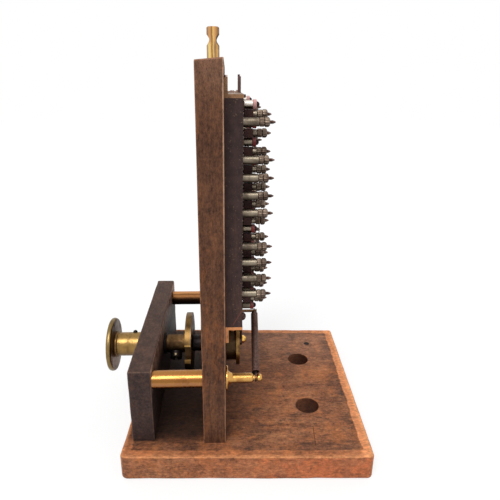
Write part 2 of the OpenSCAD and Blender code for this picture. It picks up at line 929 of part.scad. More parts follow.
// The spindle up to an end, with a gap all round. With a short throw its tail is turned down,
// so that a wall is left between it and the crank pin's thread
module spindle_form(end, gap) {
    tail_start = crank_face - crank_pin_grip - crank_pin_wall;
    if (spindle_tail_d < spindle_d) {
        rod(spindle_start, tail_start + gap - spindle_start, spindle_d + 2 * gap, 0, axis_z);
        rod(tail_start - cut, end - tail_start + cut, spindle_tail_d + 2 * gap, 0, axis_z);
    } else {
        rod(spindle_start, end - spindle_start, spindle_d + 2 * gap, 0, axis_z);
    }
}

module cam_rivet_set(gap) {
    translate([0, 0, axis_z]) for (a = [0, 120, 240]) rotate([a, 0, 0])
        rod(cam_front - cam_rivet_grip, cam_rivet_grip + cam_t + gap, cam_rivet_d + 2 * gap,
            0, cam_rivet_circle / 2);
}

// The locking notch lies in the near side of the rim, a little above the axis
notch_rise = 12;
notch_w = 14.2;
notch_depth = 6;

module cam_disc() {
    color(brass) difference() {
        rod(cam_front, cam_t, cam_d, 0, axis_z);
        spindle_seat();
        cam_rivet_set(fit_gap);
        translate([cam_front - cut, 0, axis_z]) rotate([180 - notch_rise, 0, 0])
            translate([0, cam_d / 2 - notch_depth, -notch_w / 2])
                cube([cam_t + 2 * cut, cam_d, notch_w]);
    }
}

module cam_rivets() {
    color(aged_brass) cam_rivet_set(0);
}

module cam_clamp_screw() {
    head_d = 13.5;
    head_h = 7.3;
    slot_w = 2.6;
    color(dark_steel) {
        cam_clamp_shank(0);
        cam_clamp_place() translate([0, 0, cam_hub_d / 2 + 0.1]) difference() {
            cylinder(d = head_d, h = head_h);
            translate([-slot_w / 2, -head_d / 2 - cut, head_h - 1.6])
                cube([slot_w, head_d + 2 * cut, 1.6 + cut]);
        }
        cam_clamp_place() translate([0, 0, cam_hub_d / 2 - 0.5])
            cylinder(d = cam_clamp_d, h = 1);
    }
}

/* Crank disc, its boss and the crank pin */
crank_start = upright_back + face_gap;
crank_screw_circle = 28;
crank_screw_d = 3.4;
crank_screw_grip = 7;
crank_pin_thread_d = 4;
crank_pin_grip = crank_t + 3.5;
crank_pin_wall = 0.25;
spindle_tail_d = min(spindle_d, 2 * (crank_throw - crank_pin_wall) - crank_pin_thread_d);

module crank_pin_hole() {
    rod(crank_face - crank_pin_grip, crank_pin_grip + cut, crank_pin_thread_d + 2 * fit_gap,
        crank_throw, axis_z);
}

// Three countersunk screws, flush with the disc's face
module crank_screw_set(gap) {
    head_r = crank_screw_d + gap;
    shank_r = crank_screw_d / 2 + gap;
    head_h = head_r - shank_r;
    translate([0, 0, axis_z]) for (a = [90, 210, 330]) rotate([a, 0, 0])
        turned([
            [crank_face - crank_t - crank_screw_grip, 0],
            [crank_face - crank_t - crank_screw_grip, shank_r],
            [crank_face - head_h, shank_r],
            [crank_face, head_r],
            [crank_face + gap, head_r],
            [crank_face + gap, 0]
        ], 0, crank_screw_circle / 2);
}

module crank_boss() {
    color(aged_brass) difference() {
        rod(crank_start, crank_boss_len, crank_boss_d, 0, axis_z);
        spindle_seat();
        crank_screw_set(fit_gap);
        crank_pin_hole();
    }
}

module crank_disc() {
    color(brass) difference() {
        rod(crank_face - crank_t, crank_t, crank_d, 0, axis_z);
        spindle_seat();
        crank_screw_set(fit_gap);
        crank_pin_hole();
    }
}

module crank_screws() {
    color(aged_brass) crank_screw_set(0);
}

pin_head_d = 9.8;
pin_head_h = 4.6;
link_face = slide_face + link_t;

module crank_pin() {
    color(brass) {
        rod(crank_face - crank_pin_grip, crank_pin_grip, crank_pin_thread_d,
            crank_throw, axis_z);
        rod(crank_face, link_face + face_gap - crank_face, crank_pin_d, crank_throw, axis_z);
        round_head(link_face + face_gap, pin_head_d, pin_head_h, crank_throw, axis_z, 60);
    }
}

/* Slide */
module slide_bar() {
    color(dark_steel) difference() {
        translate([slide_back, -slide_w / 2, slide_low_z])
            cube([slide_t, slide_w, slide_top_z - slide_low_z]);
        link_screw_hole();
        spring_stud_hole();
        slide_cap_shank(fit_gap);
        segment_rivet_set(fit_gap);
    }
}

module link_screw_hole() {
    rod(slide_back - cut, slide_t + link_t + 2 * cut, link_screw_d + 2 * fit_gap,
        0, link_screw_z);
}

module spring_stud_hole() {
    rod(slide_back - cut, slide_t + link_t + 2 * cut, spring_stud_d + 2 * fit_gap,
        0, spring_stud_z);
}

// Crank link: its lower eye is a slot, because the pin swings sideways and
// its rise departs a little from a straight proportion to the turn
pin_sweep = crank_throw * (1 - cos(turn));
pin_bow = crank_throw * (sin(turn / 2) - sin(turn) / 2);
link_eye_y = crank_throw - pin_sweep / 2;
link_eye_r = crank_pin_d / 2 + 3.7;
link_w = 9;
link_end_r = link_w / 2 + 0.4;
link_len = norm([link_eye_y, link_screw_z - axis_z]);
link_lean = atan2(link_eye_y, link_screw_z - axis_z);
bow_gap = 0.12;

// Seen along X, with Y to the right and Z up
module link_outline() {
    slot_h = crank_pin_d + 2 * (pin_bow + bow_gap);
    slot_w = crank_pin_d + pin_sweep + 2 * slide_gap;
    difference() {
        union() {
            translate([link_eye_y, axis_z]) circle(link_eye_r);
            translate([0, link_screw_z]) circle(link_end_r);
            translate([0, spring_stud_z]) circle(link_end_r);
            translate([link_eye_y, axis_z]) rotate(link_lean)
                translate([-link_w / 2, 0]) square([link_w, link_len]);
            translate([-link_w / 2, link_screw_z])
                square([link_w, spring_stud_z - link_screw_z]);
        }
        translate([link_eye_y, axis_z]) for (side = [-1, 1])
            translate([side * (slot_w - slot_h) / 2, 0]) circle(d = slot_h);
        translate([link_eye_y, axis_z]) square([slot_w - slot_h, slot_h], center = true);
    }
}

module crank_link() {
    color(dark_steel) difference() {
        translate([slide_face, 0, 0]) rotate([90, 0, 90])
            linear_extrude(link_t) link_outline();
        link_screw_hole();
        spring_stud_hole();
    }
}

link_head_d = 9.8;
link_head_h = 4.2;

module link_screw() {
    color(dark_steel) {
        rod(slide_back, slide_t + link_t, link_screw_d, 0, link_screw_z);
        round_head(link_face, link_head_d, link_head_h, 0, link_screw_z, 20);
    }
}

spring_stud_reach = 15.2;
spring_stud_end = 1.2;
spring_stud_lip = 0.6;

module spring_stud() {
    color(copper_brass) {
        rod(slide_back, slide_t + link_t + spring_stud_reach, spring_stud_d, 0, spring_stud_z);
        rod(link_face + spring_stud_reach, spring_stud_end, spring_stud_d + 2 * spring_stud_lip,
            0, spring_stud_z);
    }
}

cap_shank_d = 1.4;
cap_d = 2.2;
cap_h = 1.8;
cap_inset = 1;
cap_shank_len = 6;

module slide_cap_shank(gap) {
    translate([slide_back + cap_inset, 0, slide_top_z - cap_shank_len])
        cylinder(d = cap_shank_d + 2 * gap, h = cap_shank_len + gap);
}

module slide_cap() {
    color(dark_steel) {
        slide_cap_shank(0);
        translate([slide_back + cap_inset, 0, slide_top_z]) cylinder(d = cap_d, h = cap_h);
    }
}

// Brass contact segments on insulating pads along the slide
segment_rivet_d = 1.6;
segment_rivet_grip = 2;

module segment_rivet_set(gap) {
    for (row = contact_rows)
        rod(slide_face - segment_rivet_grip, segment_rivet_grip + segment_pad_t + gap,
            segment_rivet_d + 2 * gap, 0, contact_z(row));
}

module segment_pads() {
    color(maroon_fibre) for (row = contact_rows) difference() {
        translate([slide_face, -segment_w / 2, contact_z(row) - segment_h / 2 - 1])
            cube([segment_pad_t, segment_w, segment_h + 2]);
        rod(slide_face - cut, segment_pad_t + 2 * cut, segment_rivet_d + 2 * fit_gap,
            0, contact_z(row));
    }
}

module contact_segments() {
    color(brass) {
        for (row = contact_rows)
            translate([slide_face + segment_pad_t, -segment_w / 2,
                contact_z(row) - segment_h / 2])
                cube([segment_t, segment_w, segment_h]);
        segment_rivet_set(0);
    }
}

/* Return spring: one unbroken wire with a hook at each end */
hook_gap = 0.25;
hook_sweep = 250;
hook_steps = 12;
neck_run_post = 3.2;
neck_run_stud = 2.2;
rings_per_coil = 8;
wire_sides = 6;
bend_r = 1.2;
post_seat_back = 0.75;
stud_seat_back = 1.6;
spring_from = [post_neck_end - post_seat_back, near_y, pillar_z];
spring_to = [link_face + spring_stud_reach - stud_seat_back, 0, spring_stud_z];
spring_span = norm(spring_to - spring_from);
coil_r = (spring_d - spring_wire_d) / 2;
hook_r_post = (post_neck_d + spring_wire_d) / 2 + hook_gap;
hook_r_stud = (spring_stud_d + spring_wire_d) / 2 + hook_gap;
coil_start = hook_r_post + neck_run_post;
coil_end = spring_span - hook_r_stud - neck_run_stud;
coil_turns = floor((coil_end - coil_start) / spring_pitch);
coil_pitch = (coil_end - coil_start) / coil_turns;
bend_turn = bend_r / coil_r * 180 / PI;

// A point on the coil's cylinder, at an angle from the hooks' plane and a height
function on_coil(angle, z) = [-coil_r * sin(angle), coil_r * cos(angle), z];

// The wire's middle, with the spring's axis along +Z from the post to the stud
lower_hook = concat(
    [[0, hook_r_post * cos(hook_sweep) - spring_wire_d * sin(hook_sweep),
        -hook_r_post * sin(hook_sweep) - spring_wire_d * cos(hook_sweep)]],
    [for (i = [0:hook_steps])
        let(a = -hook_sweep + i * hook_sweep / hook_steps)
        [0, hook_r_post * cos(a), hook_r_post * sin(a)]]
);
upper_hook = concat(
    [for (i = [0:hook_steps])
        let(a = i * hook_sweep / hook_steps)
        [0, hook_r_stud * cos(a), spring_span + hook_r_stud * sin(a)]],
    [[0, hook_r_stud * cos(hook_sweep) - spring_wire_d * sin(hook_sweep),
        spring_span + hook_r_stud * sin(hook_sweep) + spring_wire_d * cos(hook_sweep)]]
);
lower_bend = [for (b = [0:30:60])
    on_coil(bend_turn * (1 - cos(b)), coil_start - bend_r + bend_r * sin(b))];
upper_bend = [for (b = [60:-30:0])
    on_coil(-bend_turn * (1 - cos(b)), coil_end + bend_r - bend_r * sin(b))];
coils = [for (i = [0:coil_turns * rings_per_coil])
    let(t = i / (coil_turns * rings_per_coil))
    on_coil(bend_turn + t * (coil_turns * 360 - 2 * bend_turn),
        coil_start + t * (coil_end - coil_start))];
wire_path = concat(lower_hook, lower_bend, coils, upper_bend, upper_hook);

function unit(v) = v / norm(v);
function flat_to(v, along) = unit(v - (v * along) * along);
function heading(path, i) =
    unit(path[min(i + 1, len(path) - 1)] - path[max(i - 1, 0)]);

// Each ring's first direction, carried along the wire from the one before
function carried(path, i = 0, before = [1, 0, 0]) =
    i == len(path) ? [] :
    let(now = flat_to(before, heading(path, i)))
    concat([now], carried(path, i + 1, now));

// The least gap between stretches of the wire that are not neighbours along it
function least_gap(path, skip) =
    min([for (i = [0:len(path) - 1 - skip]) for (j = [i + skip:len(path) - 1])
        norm(path[i] - path[j])]) - spring_wire_d;

module return_spring() {
    echo(spring_turns = coil_turns, least_gap = least_gap(wire_path, rings_per_coil - 1));
    firsts = carried(wire_path);
    count = len(wire_path);
    rings = [for (i = [0:count - 1])
        let(u = firsts[i], v = cross(heading(wire_path, i), u))
        for (k = [0:wire_sides - 1])
            let(a = k * 360 / wire_sides)
            wire_path[i] + spring_wire_d / 2 * (u * cos(a) + v * sin(a))];
    sides = [for (i = [0:count - 2]) for (k = [0:wire_sides - 1])
        let(a = i * wire_sides + k, b = i * wire_sides + (k + 1) % wire_sides)
        for (face = [[a, a + wire_sides, b], [b, a + wire_sides, b + wire_sides]]) face];
    last = (count - 1) * wire_sides;
    ends = [for (k = [1:wire_sides - 2])
        for (face = [[0, k, k + 1], [last, last + k + 1, last + k]]) face];
    along = unit(spring_to - spring_from);
    side_on = flat_to([1, 0, 0], along);
    across = cross(along, side_on);
    placed = [for (p = rings)
        spring_from + p[0] * side_on + p[1] * across + p[2] * along];
    color(spring_steel) polyhedron(placed, concat(sides, ends), convexity = 10);
}

baseboard();
base_screws();
upright_board();
faceplate_board();
near_pillar();
far_pillar();
pillar_front_screws();
far_pillar_bolt();
spring_post();
return_spring();
eye_post();
front_bush();
rear_bush();
terminal_panel();
upper_angle();
lower_angle();
angle_wall_screws();
angle_panel_screws();
angle_edge_screws();
angle_top_screws();
slide_keeper();
outer_pillars();
outer_studs();
outer_lock_nuts();
outer_clamp_nuts();
insulating_blocks();
inner_collars();
inner_studs();
inner_lock_nuts();
inner_clamp_nuts();
contact_seats();
contact_fingers();
contact_sleeves();
fibre_washers();
contact_bolts();
jumper_wire();
spindle();
knob();
knob_pin();
cam_hub();
cam_disc();
cam_rivets();
cam_clamp_screw();
crank_boss();
crank_disc();
crank_screws();
crank_pin();
slide_bar();
crank_link();
link_screw();
spring_stud();
slide_cap();
segment_pads();
contact_segments();
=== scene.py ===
# %% [markdown]
# # A signal box block switch
# A round knob on a short board turns a spindle. On the spindle sit a cam, between the two boards,
# and a crank, behind the tall board. The crank lifts a steel slide that runs up between columns of
# terminals. This script dresses the measured model of it in wood, brass, nickel, steel and fibre.
# Every length is in metres, X runs from the knob to the terminals, Y goes away from the viewer and
# Z is up. Lengths that are easier to read in millimetres are multiplied by MM.

# %% Load the measured model
import math
import random

import bmesh
import bpy
from mathutils import Matrix, Vector, noise


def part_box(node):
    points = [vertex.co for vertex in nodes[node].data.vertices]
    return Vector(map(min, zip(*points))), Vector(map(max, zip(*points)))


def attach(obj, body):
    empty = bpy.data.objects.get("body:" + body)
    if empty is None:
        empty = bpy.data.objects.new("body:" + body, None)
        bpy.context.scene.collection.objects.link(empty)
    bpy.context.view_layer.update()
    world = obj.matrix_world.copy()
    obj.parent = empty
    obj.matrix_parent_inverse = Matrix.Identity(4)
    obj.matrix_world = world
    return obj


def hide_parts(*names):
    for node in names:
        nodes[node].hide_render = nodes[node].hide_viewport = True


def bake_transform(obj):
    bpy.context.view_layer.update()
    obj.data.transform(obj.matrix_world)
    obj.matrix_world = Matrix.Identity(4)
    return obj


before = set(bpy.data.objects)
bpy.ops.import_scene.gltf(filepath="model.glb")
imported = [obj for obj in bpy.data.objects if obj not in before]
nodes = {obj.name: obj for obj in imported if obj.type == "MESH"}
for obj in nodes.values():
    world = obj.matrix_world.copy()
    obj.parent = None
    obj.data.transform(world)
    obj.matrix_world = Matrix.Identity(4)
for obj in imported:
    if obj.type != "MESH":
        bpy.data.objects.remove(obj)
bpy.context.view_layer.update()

MM = 0.001
print("loaded", len(nodes), "measured nodes")

# %% [markdown]
# ## Into the scene
# A camera, a lamp and a board are all objects that show some data. Linking each by hand would
# repeat two lines many times, so one helper does it, and another turns an edited mesh into data.


# %% Two helpers that every step uses
def put_in_scene(name, data):
    """A new object in the scene that shows data."""
    made = bpy.data.objects.new(name, data)
    bpy.context.scene.collection.objects.link(made)
    return made


def stored(name, mesh):
    """Mesh data from a bmesh, which is freed."""
    data = bpy.data.meshes.new(name)
    mesh.to_mesh(data)
    mesh.free()
    return data


# %% [markdown]
# ## Camera
# The camera was found by matching edges of the baseboard, the boards and the cable holes with the
# photograph. It stands before the near side, a little below the top of the tall board, and looks
# down by twenty degrees with a roll of under one degree. Its matrix could be copied as sixteen
# numbers. It is put together from three turns instead, because each can be read by itself.

# %% Camera
CAMERA_PLACE = Vector((-22.67, -478.35, 365.25)) * MM
CAMERA_YAW, CAMERA_PITCH, CAMERA_ROLL = (math.radians(a) for a in (2.94, 19.65, 0.74))
camera_data = bpy.data.cameras.new("camera")
camera_data.sensor_width = 36
camera_data.lens = 33.38
ahead = Vector((math.sin(CAMERA_YAW) * math.cos(CAMERA_PITCH),
                math.cos(CAMERA_YAW) * math.cos(CAMERA_PITCH),
                -math.sin(CAMERA_PITCH)))
level_right = Vector((math.cos(CAMERA_YAW), -math.sin(CAMERA_YAW), 0))
level_up = level_right.cross(ahead)
right = level_right * math.cos(CAMERA_ROLL) + level_up * math.sin(CAMERA_ROLL)
up = level_up * math.cos(CAMERA_ROLL) - level_right * math.sin(CAMERA_ROLL)
camera = put_in_scene("camera", camera_data)
camera.matrix_world = Matrix.Translation(CAMERA_PLACE) @ Matrix((right, up, -ahead)).transposed().to_4x4()
bpy.context.scene.camera = camera
bpy.context.scene.view_settings.view_transform = "Standard"
print("camera at", tuple(round(v, 3) for v in CAMERA_PLACE), "lens", camera_data.lens, "mm")

# %% [markdown]
# ## Shader maths as Python
# A finish is a small sum: grain plus stain minus wear. Written with nodes alone it is hard to read,
# so one class wraps a value and adds a Math node for each sign. Python calls a second, reflected
# method when the value stands after the sign, and that is what makes 1 - mask work.


# %% A value that adds its own Math nodes
def sign(operation):
    """The two methods that Python calls for one sign, with the value before it or after it."""
    return (lambda self, other: self.maths(operation, self, other),
            lambda self, other: self.maths(operation, other, self))


class Value:
    """A value that runs through a node tree."""

    def __init__(self, tree, socket):
        self.tree = tree
        self.socket = socket

    def maths(self, operation, first, second=0.0):
        return self.tree.node("Math", {"operation": operation}, {0: first, 1: second})

    __add__, __radd__ = sign("ADD")
    __sub__, __rsub__ = sign("SUBTRACT")
    __mul__, __rmul__ = sign("MULTIPLY")
    __truediv__, __rtruediv__ = sign("DIVIDE")
    __pow__, __rpow__ = sign("POWER")

    def __abs__(self):
        return self.maths("ABSOLUTE", self)

    def least(self, other):
        return self.maths("MINIMUM", self, other)

    def most(self, other):
        return self.maths("MAXIMUM", self, other)


# %% [markdown]
# ## One way to add a node
# Any other node comes from one method, which sets the node's own settings first and its sockets
# after, because some settings change which sockets there are. The world and the floor use the same
# method as the materials.


# %% A node tree
class NodeTree:
    """A node tree, and the one way to add a node to it."""

    def __init__(self, raw):
        self.raw = raw

    def feed(self, socket, given):
        """Link a value to a socket, or set the socket's own number or colour."""
        if isinstance(given, Value):
            self.raw.links.new(given.socket, socket)
        else:
            socket.default_value = given

    def node(self, kind, settings=None, inputs=None, out=0):
        made = self.raw.nodes.new("ShaderNode" + kind)
        for name, setting in (settings or {}).items():
            if name == "stops":
                ramp = made.color_ramp
                ramp.elements[0].position, ramp.elements[0].color = setting[0]
                ramp.elements[1].position, ramp.elements[1].color = setting[-1]
                for position, colour in setting[1:-1]:
                    ramp.elements.new(position).color = colour
            else:
                setattr(made, name, setting)
        for name, given in (inputs or {}).items():
            self.feed(made.inputs[name], given)
        return Value(self, made.outputs[out])

    def show(self, output, seen, lit):
        """Show seen to the camera, reflections and glass. Other light meets the node named lit."""
        straight, glossy, through = (self.node("LightPath", out=ray) for ray in (
            "Is Camera Ray", "Is Glossy Ray", "Is Transmission Ray"))
        chosen = self.node("MixShader", inputs={0: straight.most(glossy).most(through),
                                                1: Value(self, self.raw.nodes[lit].outputs[0]), 2: seen})
        self.feed(self.raw.nodes[output].inputs["Surface"], chosen)


# %% [markdown]
# ## A finish
# A material needs a few moves again and again: noise at some scale, a smooth step from one value to
# another, one more coat of colour over the last. They could be written out with node names each
# time, but a class keeps them short. Colours never pass through a Math node, because that would
# turn them grey.


# %% Colours
def paint(red, green, blue):
    """A colour as a paint chart gives it, 0 to 255, as the linear colour that Blender wants."""
    def linear(level):
        share = level / 255
        return share / 12.92 if share <= 0.04045 else ((share + 0.055) / 1.055) ** 2.4
    return linear(red), linear(green), linear(blue), 1.0


def grey(level):
    return level, level, level, 1


def colour_of(given):
    """Three paint levels become a colour. Anything else is one already."""
    return paint(*given) if isinstance(given, tuple) and len(given) == 3 else given


print("paint level 128 is", round(paint(128, 128, 128)[0], 3), "in linear light")


# %% A finish
class Finish(NodeTree):
    """One material, built up in coats of colour for the Principled shader."""

    def __init__(self, name, metallic=0.0, specular=0.5):
        self.material = bpy.data.materials.new(name)
        self.material.use_nodes = True
        super().__init__(self.material.node_tree)
        self.shader = self.raw.nodes["Principled BSDF"]
        self.give("Metallic", metallic)
        self.give("Specular IOR Level", specular)
        self.place = self.node("TexCoord", out="Object")
        self.facing = self.tilt("Z")
        self.coat = None

    def give(self, name, given):
        """Set or feed one socket of the shader."""
        self.feed(self.shader.inputs[name], given)

    def along(self, axis):
        """How far a point lies along X, Y or Z, in metres."""
        return self.node("SeparateXYZ", inputs={"Vector": self.place}, out=axis)

    def tilt(self, axis):
        """How far the surface faces X, Y or Z, from -1 to 1."""
        normal = self.node("TexCoord", out="Normal")
        return self.node("SeparateXYZ", inputs={"Vector": normal}, out=axis)

    def wear(self):
        """The value that a mesh carries: on a board 1 where it is rubbed, 0 where it isn't, and on the
        spring 1 on the outside of each coil, where painted light goes.
        """
        return self.node("Attribute", {"attribute_name": "wear"}, out="Fac")

    def stretched(self, scale):
        return self.node("Mapping", inputs={"Vector": self.place, "Scale": scale})

    def cloud(self, scale, detail=4.0, roughness=0.55, distortion=0.0, where=None):
        return self.node("TexNoise", inputs={
            "Vector": where or self.place, "Scale": scale, "Detail": detail,
            "Roughness": roughness, "Distortion": distortion})

    def step(self, amount, low, high):
        """0 below low, 1 above high and smooth between them."""
        return self.node("MapRange", {"interpolation_type": "SMOOTHSTEP"},
                         {"Value": amount, "From Min": low, "From Max": high})

    def band(self, amount, rise, fall):
        """1 between two limits. Each is given by where its fade starts and ends."""
        return self.step(amount, *rise) * (1 - self.step(amount, *fall))

    def near(self, distance, inner, outer):
        """1 within inner of zero on both sides, 0 beyond outer."""
        return 1 - self.step(abs(distance), inner, outer)

    def disc(self, across, away, inner, outer):
        """1 within inner of a centre in all directions, 0 beyond outer."""
        return 1 - self.step((across * across + away * away) ** 0.5, inner, outer)

    def ramp(self, amount, stops):
        stops = [(position, colour_of(colour)) for position, colour in stops]
        return self.node("ValToRGB", {"stops": stops}, {"Fac": amount})

    def mix(self, share, first, second, blend="MIX"):
        """Mix two colours, which are sockets 6 and 7 of the node. The result is output 2."""
        return self.node("Mix", {"data_type": "RGBA", "blend_type": blend},
                         {0: share, 6: colour_of(first), 7: colour_of(second)}, 2)

    def cover(self, share, colour):
        """Paint a colour over the last coat, as strongly as share says."""
        self.coat = self.mix(share, self.coat, colour)

    def bump(self, height, depth):
        self.give("Normal", self.node("Bump", inputs={"Height": height, "Distance": depth,
                                                      "Strength": 1.0}, out="Normal"))


# %% [markdown]
# ## Wood
# All three boards are old mahogany with a thin varnish. Mahogany shows short dark pores that run
# with the grain, broad bands where the grain leans, and pale arrises where the varnish is gone.
# The pores and bands are noise drawn out along the grain. The arrises need to know where the edges
# are, so each board's mesh carries a wear value that is 1 at an edge and 0 inside.

# %% One recipe for the three boards
GRAIN = {"x": (1, 9, 9), "y": (9, 1, 9), "z": (9, 9, 1)}
FINE = {"x": (0.4, 1, 1), "y": (1, 0.4, 1), "z": (1, 1, 0.4)}


def wood(name, grain, deep, body, light, bare, worn=0.8, grit=0.5, pored=0.6, marks=None):
    """Varnished mahogany whose grain runs along one axis. marks may paint more before the wear."""
    finish = Finish(name, specular=0.16)
    along = finish.stretched(GRAIN[grain])
    bands = finish.cloud(14, 5, 0.6, 0.8, along)
    streaks = finish.cloud(98, 6, 0.75, 0.3, along)
    pores = finish.step(finish.cloud(420, 4, 0.7, 0.0, along), 0.56, 0.68)
    mottle = finish.cloud(320, 5, 0.75)
    blotches = finish.cloud(26, 6, 0.65)
    tone = bands * 0.45 + streaks * 0.4 + blotches * 0.5 + mottle * 0.55 - 0.45
    finish.coat = finish.ramp(tone, [(0.30, deep), (0.50, body), (0.72, light)])
    finish.cover(pores * pored, deep)
    grime = finish.step(finish.cloud(30, 8, 0.7, 0.5), 0.52, 0.70)
    finish.cover(grime * 0.35, deep)
    if marks:
        marks(finish)
    ragged = finish.step(finish.wear() + finish.cloud(240, 5, 0.7) * 0.9, 1.0, 1.45)
    finish.cover(ragged * worn, bare)
    fine = finish.cloud(430, 4, 0.75, 0.0, finish.stretched(FINE[grain]))
    specks = finish.ramp(fine, [(0.34, (0.42, 0.42, 0.44, 1)), (0.50, (1, 1, 1, 1)),
                                (0.66, (1.65, 1.55, 1.45, 1))])
    finish.give("Base Color", finish.mix(grit, finish.coat, specks, "MULTIPLY"))
    finish.give("Roughness", 0.5 + blotches * 0.2 + ragged * 0.1)
    finish.bump(streaks * 0.5 - pores * 0.9 + mottle * 0.4, 0.0003)
    return finish.material


# %% [markdown]
# ## Marks on the boards
# Each board has its own history. The base has a cleaner border, dirt, painted shade in the holes and a
# dark patch painted where the boards shade it. The upright is rubbed orange in places. The faceplate is
# darker and dusty on top, with painted light there too. Such marks could be painted by hand on an image.
# Here they are masks, made from a point's place and from the way its surface faces, so that no picture is
# needed.

# %% Places that the marks and the pieces share
AXIS_Z, BACK_X = 78.8 * MM, -25 * MM
BASE_SIDE, BASE_T, BASE_SKEW, BASE_SHIFT = 247.6 * MM, 27 * MM, math.radians(1.87), 1.9 * MM
CABLE_HOLE_X, CABLE_HOLE_GAP, CABLE_HOLE_R = 67.2 * MM, 93 * MM, 12.7 * MM
base_turn = Matrix.Translation((0, -BASE_SHIFT, 0)) @ Matrix.Rotation(-BASE_SKEW, 4, "Z")
cable_holes = [base_turn @ Vector((CABLE_HOLE_X, side * CABLE_HOLE_GAP / 2, BASE_T)) for side in (-1, 1)]
print("cable holes at", [tuple(round(v, 4) for v in hole) for hole in cable_holes])

# %% What has happened to the baseboard
BORDER = 8.4 * MM, 10 * MM
HOLE_SHADE_AT, KNOT_AT, SMEAR_AT = (-0.071, -0.075), (0.0862, 0.0805), (0.088, 0.080)
SCRATCH_AT, SCRATCH_LEAN = (0.0665, -0.0837), 0.0778


def spot(finish, x, y, at, radius):
    """1 inside a round spot of the top, 0 outside it."""
    return finish.disc(x - at[0], y - at[1], radius * 0.8, radius)


def base_marks(finish):
    """A cleaner border, orange patches, dark dirt, and painted shade by the boards and in the holes."""
    x, y = finish.along("X"), finish.along("Y")
    slope = math.tan(BASE_SKEW)
    own_x, own_y = x - (y + BASE_SHIFT) * slope, (y + BASE_SHIFT) + x * slope
    drift = (finish.cloud(60, 6, 0.75) - 0.5) * 0.007
    inset = (BASE_SIDE / 2 - abs(own_x) + drift).least(BASE_SIDE / 2 - abs(own_y) + drift)
    inset = inset - finish.step(own_x, 0.09, 0.11) * 0.0012
    border = 1 - finish.step(inset, *BORDER)
    top = finish.step(finish.facing, 0.5, 0.9)
    # Orange where the varnish is thin, and dirt that follows the grain.
    patches = finish.step(finish.cloud(48, 8, 0.8, 0.6), 0.46, 0.62)
    finish.cover(patches * 0.5, (194, 118, 68))
    grain = finish.stretched((0.55, 1, 1))
    dirt = finish.step(finish.cloud(120, 9, 0.9, 0.2, grain), 0.44, 0.62)
    broad = finish.step(finish.cloud(15, 6, 0.75, 0.8, grain), 0.44, 0.58)
    inside = (1 - border) * top
    finish.cover(dirt * inside * (0.15 + broad * 0.65), (64, 49, 43))
    far = finish.step(y, 0.00, 0.11) * (1 - dirt * 0.6) * inside
    finish.cover(far * 0.4, (190, 146, 120))
    # The border, a dark gutter inside it and a rubbed rim outside.
    gutter = finish.band(inset, BORDER, (0.011, 0.028))
    finish.cover(gutter * top * (0.20 + dirt * 0.40), (66, 50, 44))
    finish.cover(border * top * (0.30 + patches * 0.3), (200, 124, 78))
    side = finish.step(own_x, 0.110, 0.114) + finish.step(own_y, 0.110, 0.114)
    finish.cover(side * border * top * (0.55 + patches * 0.35), (234, 154, 104))
    rim = (1 - finish.step(inset, 0.0012, 0.0052)) * top
    finish.cover(rim * (0.25 + finish.step(own_x, 0.112, 0.117) * 0.4), (238, 166, 112))
    # The outer faces are redder to the right and dark along the foot.
    front = (1 - finish.step(finish.facing, 0.3, 0.6)) * finish.step(own_x, -0.08, 0.08)
    finish.cover(front * (0.25 + patches * 0.4), (198, 108, 68))
    foot = 1 - finish.step(finish.along("Z") + drift * 0.2, 0.0006, 0.0024)
    finish.cover(foot * 0.6, (92, 58, 42))
    # Painted shade by the boards, with some soot, darkest between them.
    near = finish.step(y + drift, -0.110, -0.090) * (1 - rim)
    shade = (1 - finish.step(x + drift * 3, -0.050, 0.040)) * near * top
    finish.cover(shade * 0.62, (42, 28, 22))
    shade_between = finish.band(x, (-0.105, -0.094), (-0.05, -0.04)) * near * top
    finish.cover(shade_between * 0.75, (22, 17, 16))
    # A hole painted dark as shade, a knot with a smear, a scratch, and painted light and shade in the
    # cable holes.
    marks = spot(finish, x, y, HOLE_SHADE_AT, 0.003) + spot(finish, x, y, KNOT_AT, 0.0042)
    smear = spot(finish, x, y, SMEAR_AT, 0.012) * finish.step(dirt, 0.1, 0.7)
    aside = x - SCRATCH_AT[0] - (y - SCRATCH_AT[1]) * SCRATCH_LEAN
    scratch = finish.near(aside, 0.0002, 0.0007) * finish.band(y, (-0.113, -0.109), (-0.087, -0.083))
    finish.cover((marks + scratch * 0.7 + smear * 0.5) * top, (40, 27, 24))
    hole_wall_shade = spot(finish, x, y, cable_holes[0], 0.0166) + spot(finish, x, y, cable_holes[1], 0.0166)
    lit_wall = finish.mix(finish.step(finish.tilt("X"), -0.5, 0.9), (44, 29, 24), (112, 76, 56))
    finish.cover(hole_wall_shade * (1 - finish.step(finish.facing, 0.3, 0.8)) * 0.85, lit_wall)


# %% What has happened to the upright and the faceplate
def upright_marks(finish):
    """Rubbed orange patches, dust near the top, upward faces painted lighter as light from above, and a
    pale line down the back arris.
    """
    x, z = finish.along("X"), finish.along("Z")
    tall = finish.stretched((1, 1, 0.45))
    finish.cover(finish.step(finish.cloud(44, 8, 0.8, 0.5, tall), 0.5, 0.66) * 0.6, (134, 80, 46))
    finish.cover(finish.step(z + finish.cloud(30, 3) * 0.06, 0.36, 0.41) * 0.4, (146, 108, 86))
    pale = finish.step(x + finish.cloud(90, 5, 0.8) * 0.0012, BACK_X - 0.8 * MM, BACK_X - 0.1 * MM)
    sideways = 1 - finish.step(finish.tilt("X"), 0.80, 0.95)
    finish.cover(pale * sideways * (0.2 + finish.step(z, 0.14, 0.34) * 0.5), (208, 174, 146))
    # Upward faces painted lighter: painted light from above, with dust.
    finish.cover(finish.step(finish.facing, 0.4, 0.9) * 0.5, (158, 118, 96))


